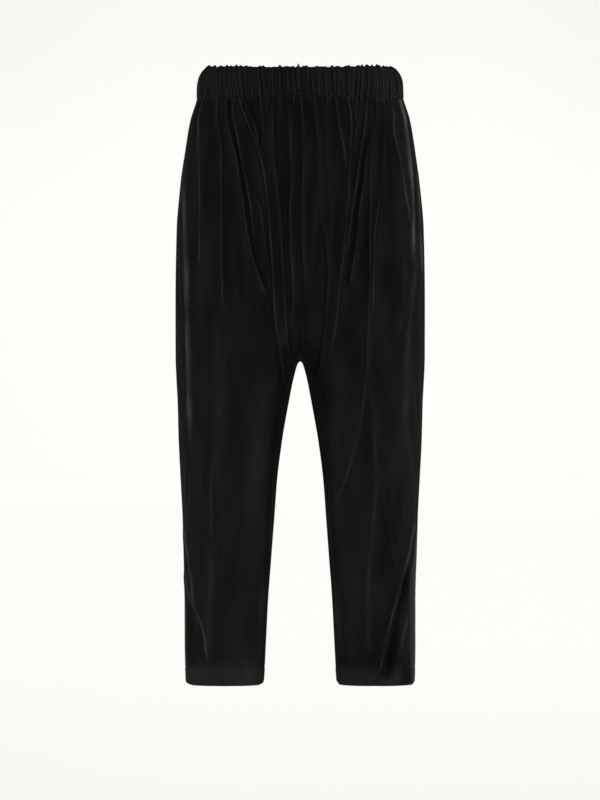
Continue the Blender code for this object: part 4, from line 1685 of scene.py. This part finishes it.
LIGHTS = (
    SoftLight("side_light_left", (-3.4, -0.5, -0.5), (0.9, 2.2), 128.0, "#ffebe4"),
    SoftLight("side_light_right", (3.4, -0.6, -0.4), (0.9, 2.2), 176.0, "#ffebe7"),
    SoftLight("low_light", (0.0, -3.2, -1.45), (2.0, 0.4), 84.0, "#fff9f4"),
)


@dataclass
class Studio:
    """A pale floor and wall, a white room and soft lights, with the camera in front."""

    distance: float = 8.0
    camera_x: float = -0.0003
    camera_z: float = -0.5169
    frame_height: float = 1.311
    sensor: float = 36.0
    near: float = 0.1
    far: float = 500.0
    floor_z: float = -1.6
    floor_radius: float = 60.0
    wall_y: float = 58.0
    wall_size: float = 20.0
    # The paints' falloffs are painted shade, and painted light where their share is negative, on the
    # floor and the wall.
    floor_paint: BackdropFinish = BackdropFinish("matt_floor_paint", (
        ("Y", 58.0, 32.0, 0.06), ("Y", 14.0, 3.0, 0.05), ("Y", 3.0, -6.0, -0.05),
        ("X", -0.2, -1.1, 0.01)))
    wall_paint: BackdropFinish = BackdropFinish("matt_wall_paint", (
        ("Z", 1.4, 5.4, 0.07), ("X", -1.8, -4.2, 0.025), ("X", 2.4, 4.2, 0.02)))
    room_light: float = 1.1
    room_colour: str = "#fcfbf7"

    def camera(self) -> None:
        """Sets up the camera, level with the middle of the photographed frame."""
        data = bpy.data.cameras.new("camera")
        data.sensor_fit = "AUTO"
        data.sensor_width = self.sensor
        data.lens = self.sensor * self.distance / self.frame_height
        data.clip_start = self.near
        data.clip_end = self.far
        made = put_in_scene("camera", data)
        made.location = (self.camera_x, -self.distance, self.camera_z)
        made.rotation_euler = (math.pi / 2.0, 0.0, 0.0)
        bpy.context.scene.camera = made

    def floor(self) -> Object:
        """Lays the bare floor, well below the hems.

        Returns:
            The floor.
        """
        bpy.ops.object.select_all(action="DESELECT")
        bpy.ops.mesh.primitive_circle_add(vertices=96, radius=self.floor_radius, fill_type="NGON",
                                          location=(0.0, 0.0, self.floor_z))
        return bpy.context.active_object

    def wall(self) -> Object:
        """Stands up the bare wall, far behind the garment.

        Returns:
            The wall.
        """
        bpy.ops.object.select_all(action="DESELECT")
        middle = (0.0, self.wall_y, self.floor_z + self.wall_size / 2.0)
        bpy.ops.mesh.primitive_plane_add(size=self.wall_size, location=middle,
                                         rotation=(math.pi / 2.0, 0.0, 0.0))
        bpy.ops.object.transform_apply(location=True, rotation=True, scale=True)
        return bpy.context.active_object

    def keep_off(self, lights: list[Object], surfaces: list[Object]) -> None:
        """Keeps the soft lights off the floor and the wall, which the room alone lights.

        Args:
            lights: the soft lights.
            surfaces: the floor and the wall.
        """
        apart = bpy.data.collections.new("lit_by_the_room_alone")
        for surface in surfaces:
            apart.objects.link(surface)
        for row in apart.collection_objects:
            row.light_linking.link_state = "EXCLUDE"
        for light in lights:
            light.light_linking.receiver_collection = apart

    def build(self) -> None:
        """Builds the studio."""
        self.camera()
        surfaces = [self.floor(), self.wall()]
        for surface, name, paint in zip(surfaces, ("studio_floor", "studio_wall"),
                                        (self.floor_paint, self.wall_paint)):
            surface.name = name
            surface.data.materials.append(paint.build())
        world = bpy.data.worlds.new("white_room")
        world.use_nodes = True
        background = world.node_tree.nodes["Background"]
        background.inputs["Color"].default_value = to_linear(self.room_colour)
        background.inputs["Strength"].default_value = self.room_light
        bpy.context.scene.world = world
        bpy.context.scene.view_settings.view_transform = "Standard"
        target = (0.0, 0.0, self.camera_z)
        self.keep_off([light.build(target) for light in LIGHTS], surfaces)


def main() -> None:
    """Builds the garment and the studio."""
    logging.basicConfig(level=logging.INFO, format="%(message)s")
    Studio().build()
    garment = TrackPants(form=GarmentForm(), velour=VelourFinish().build(),
                         tape=TapeFinish().build(), thread=ThreadFinish().build())
    garment.build()


if __name__ == "__main__":
    main()
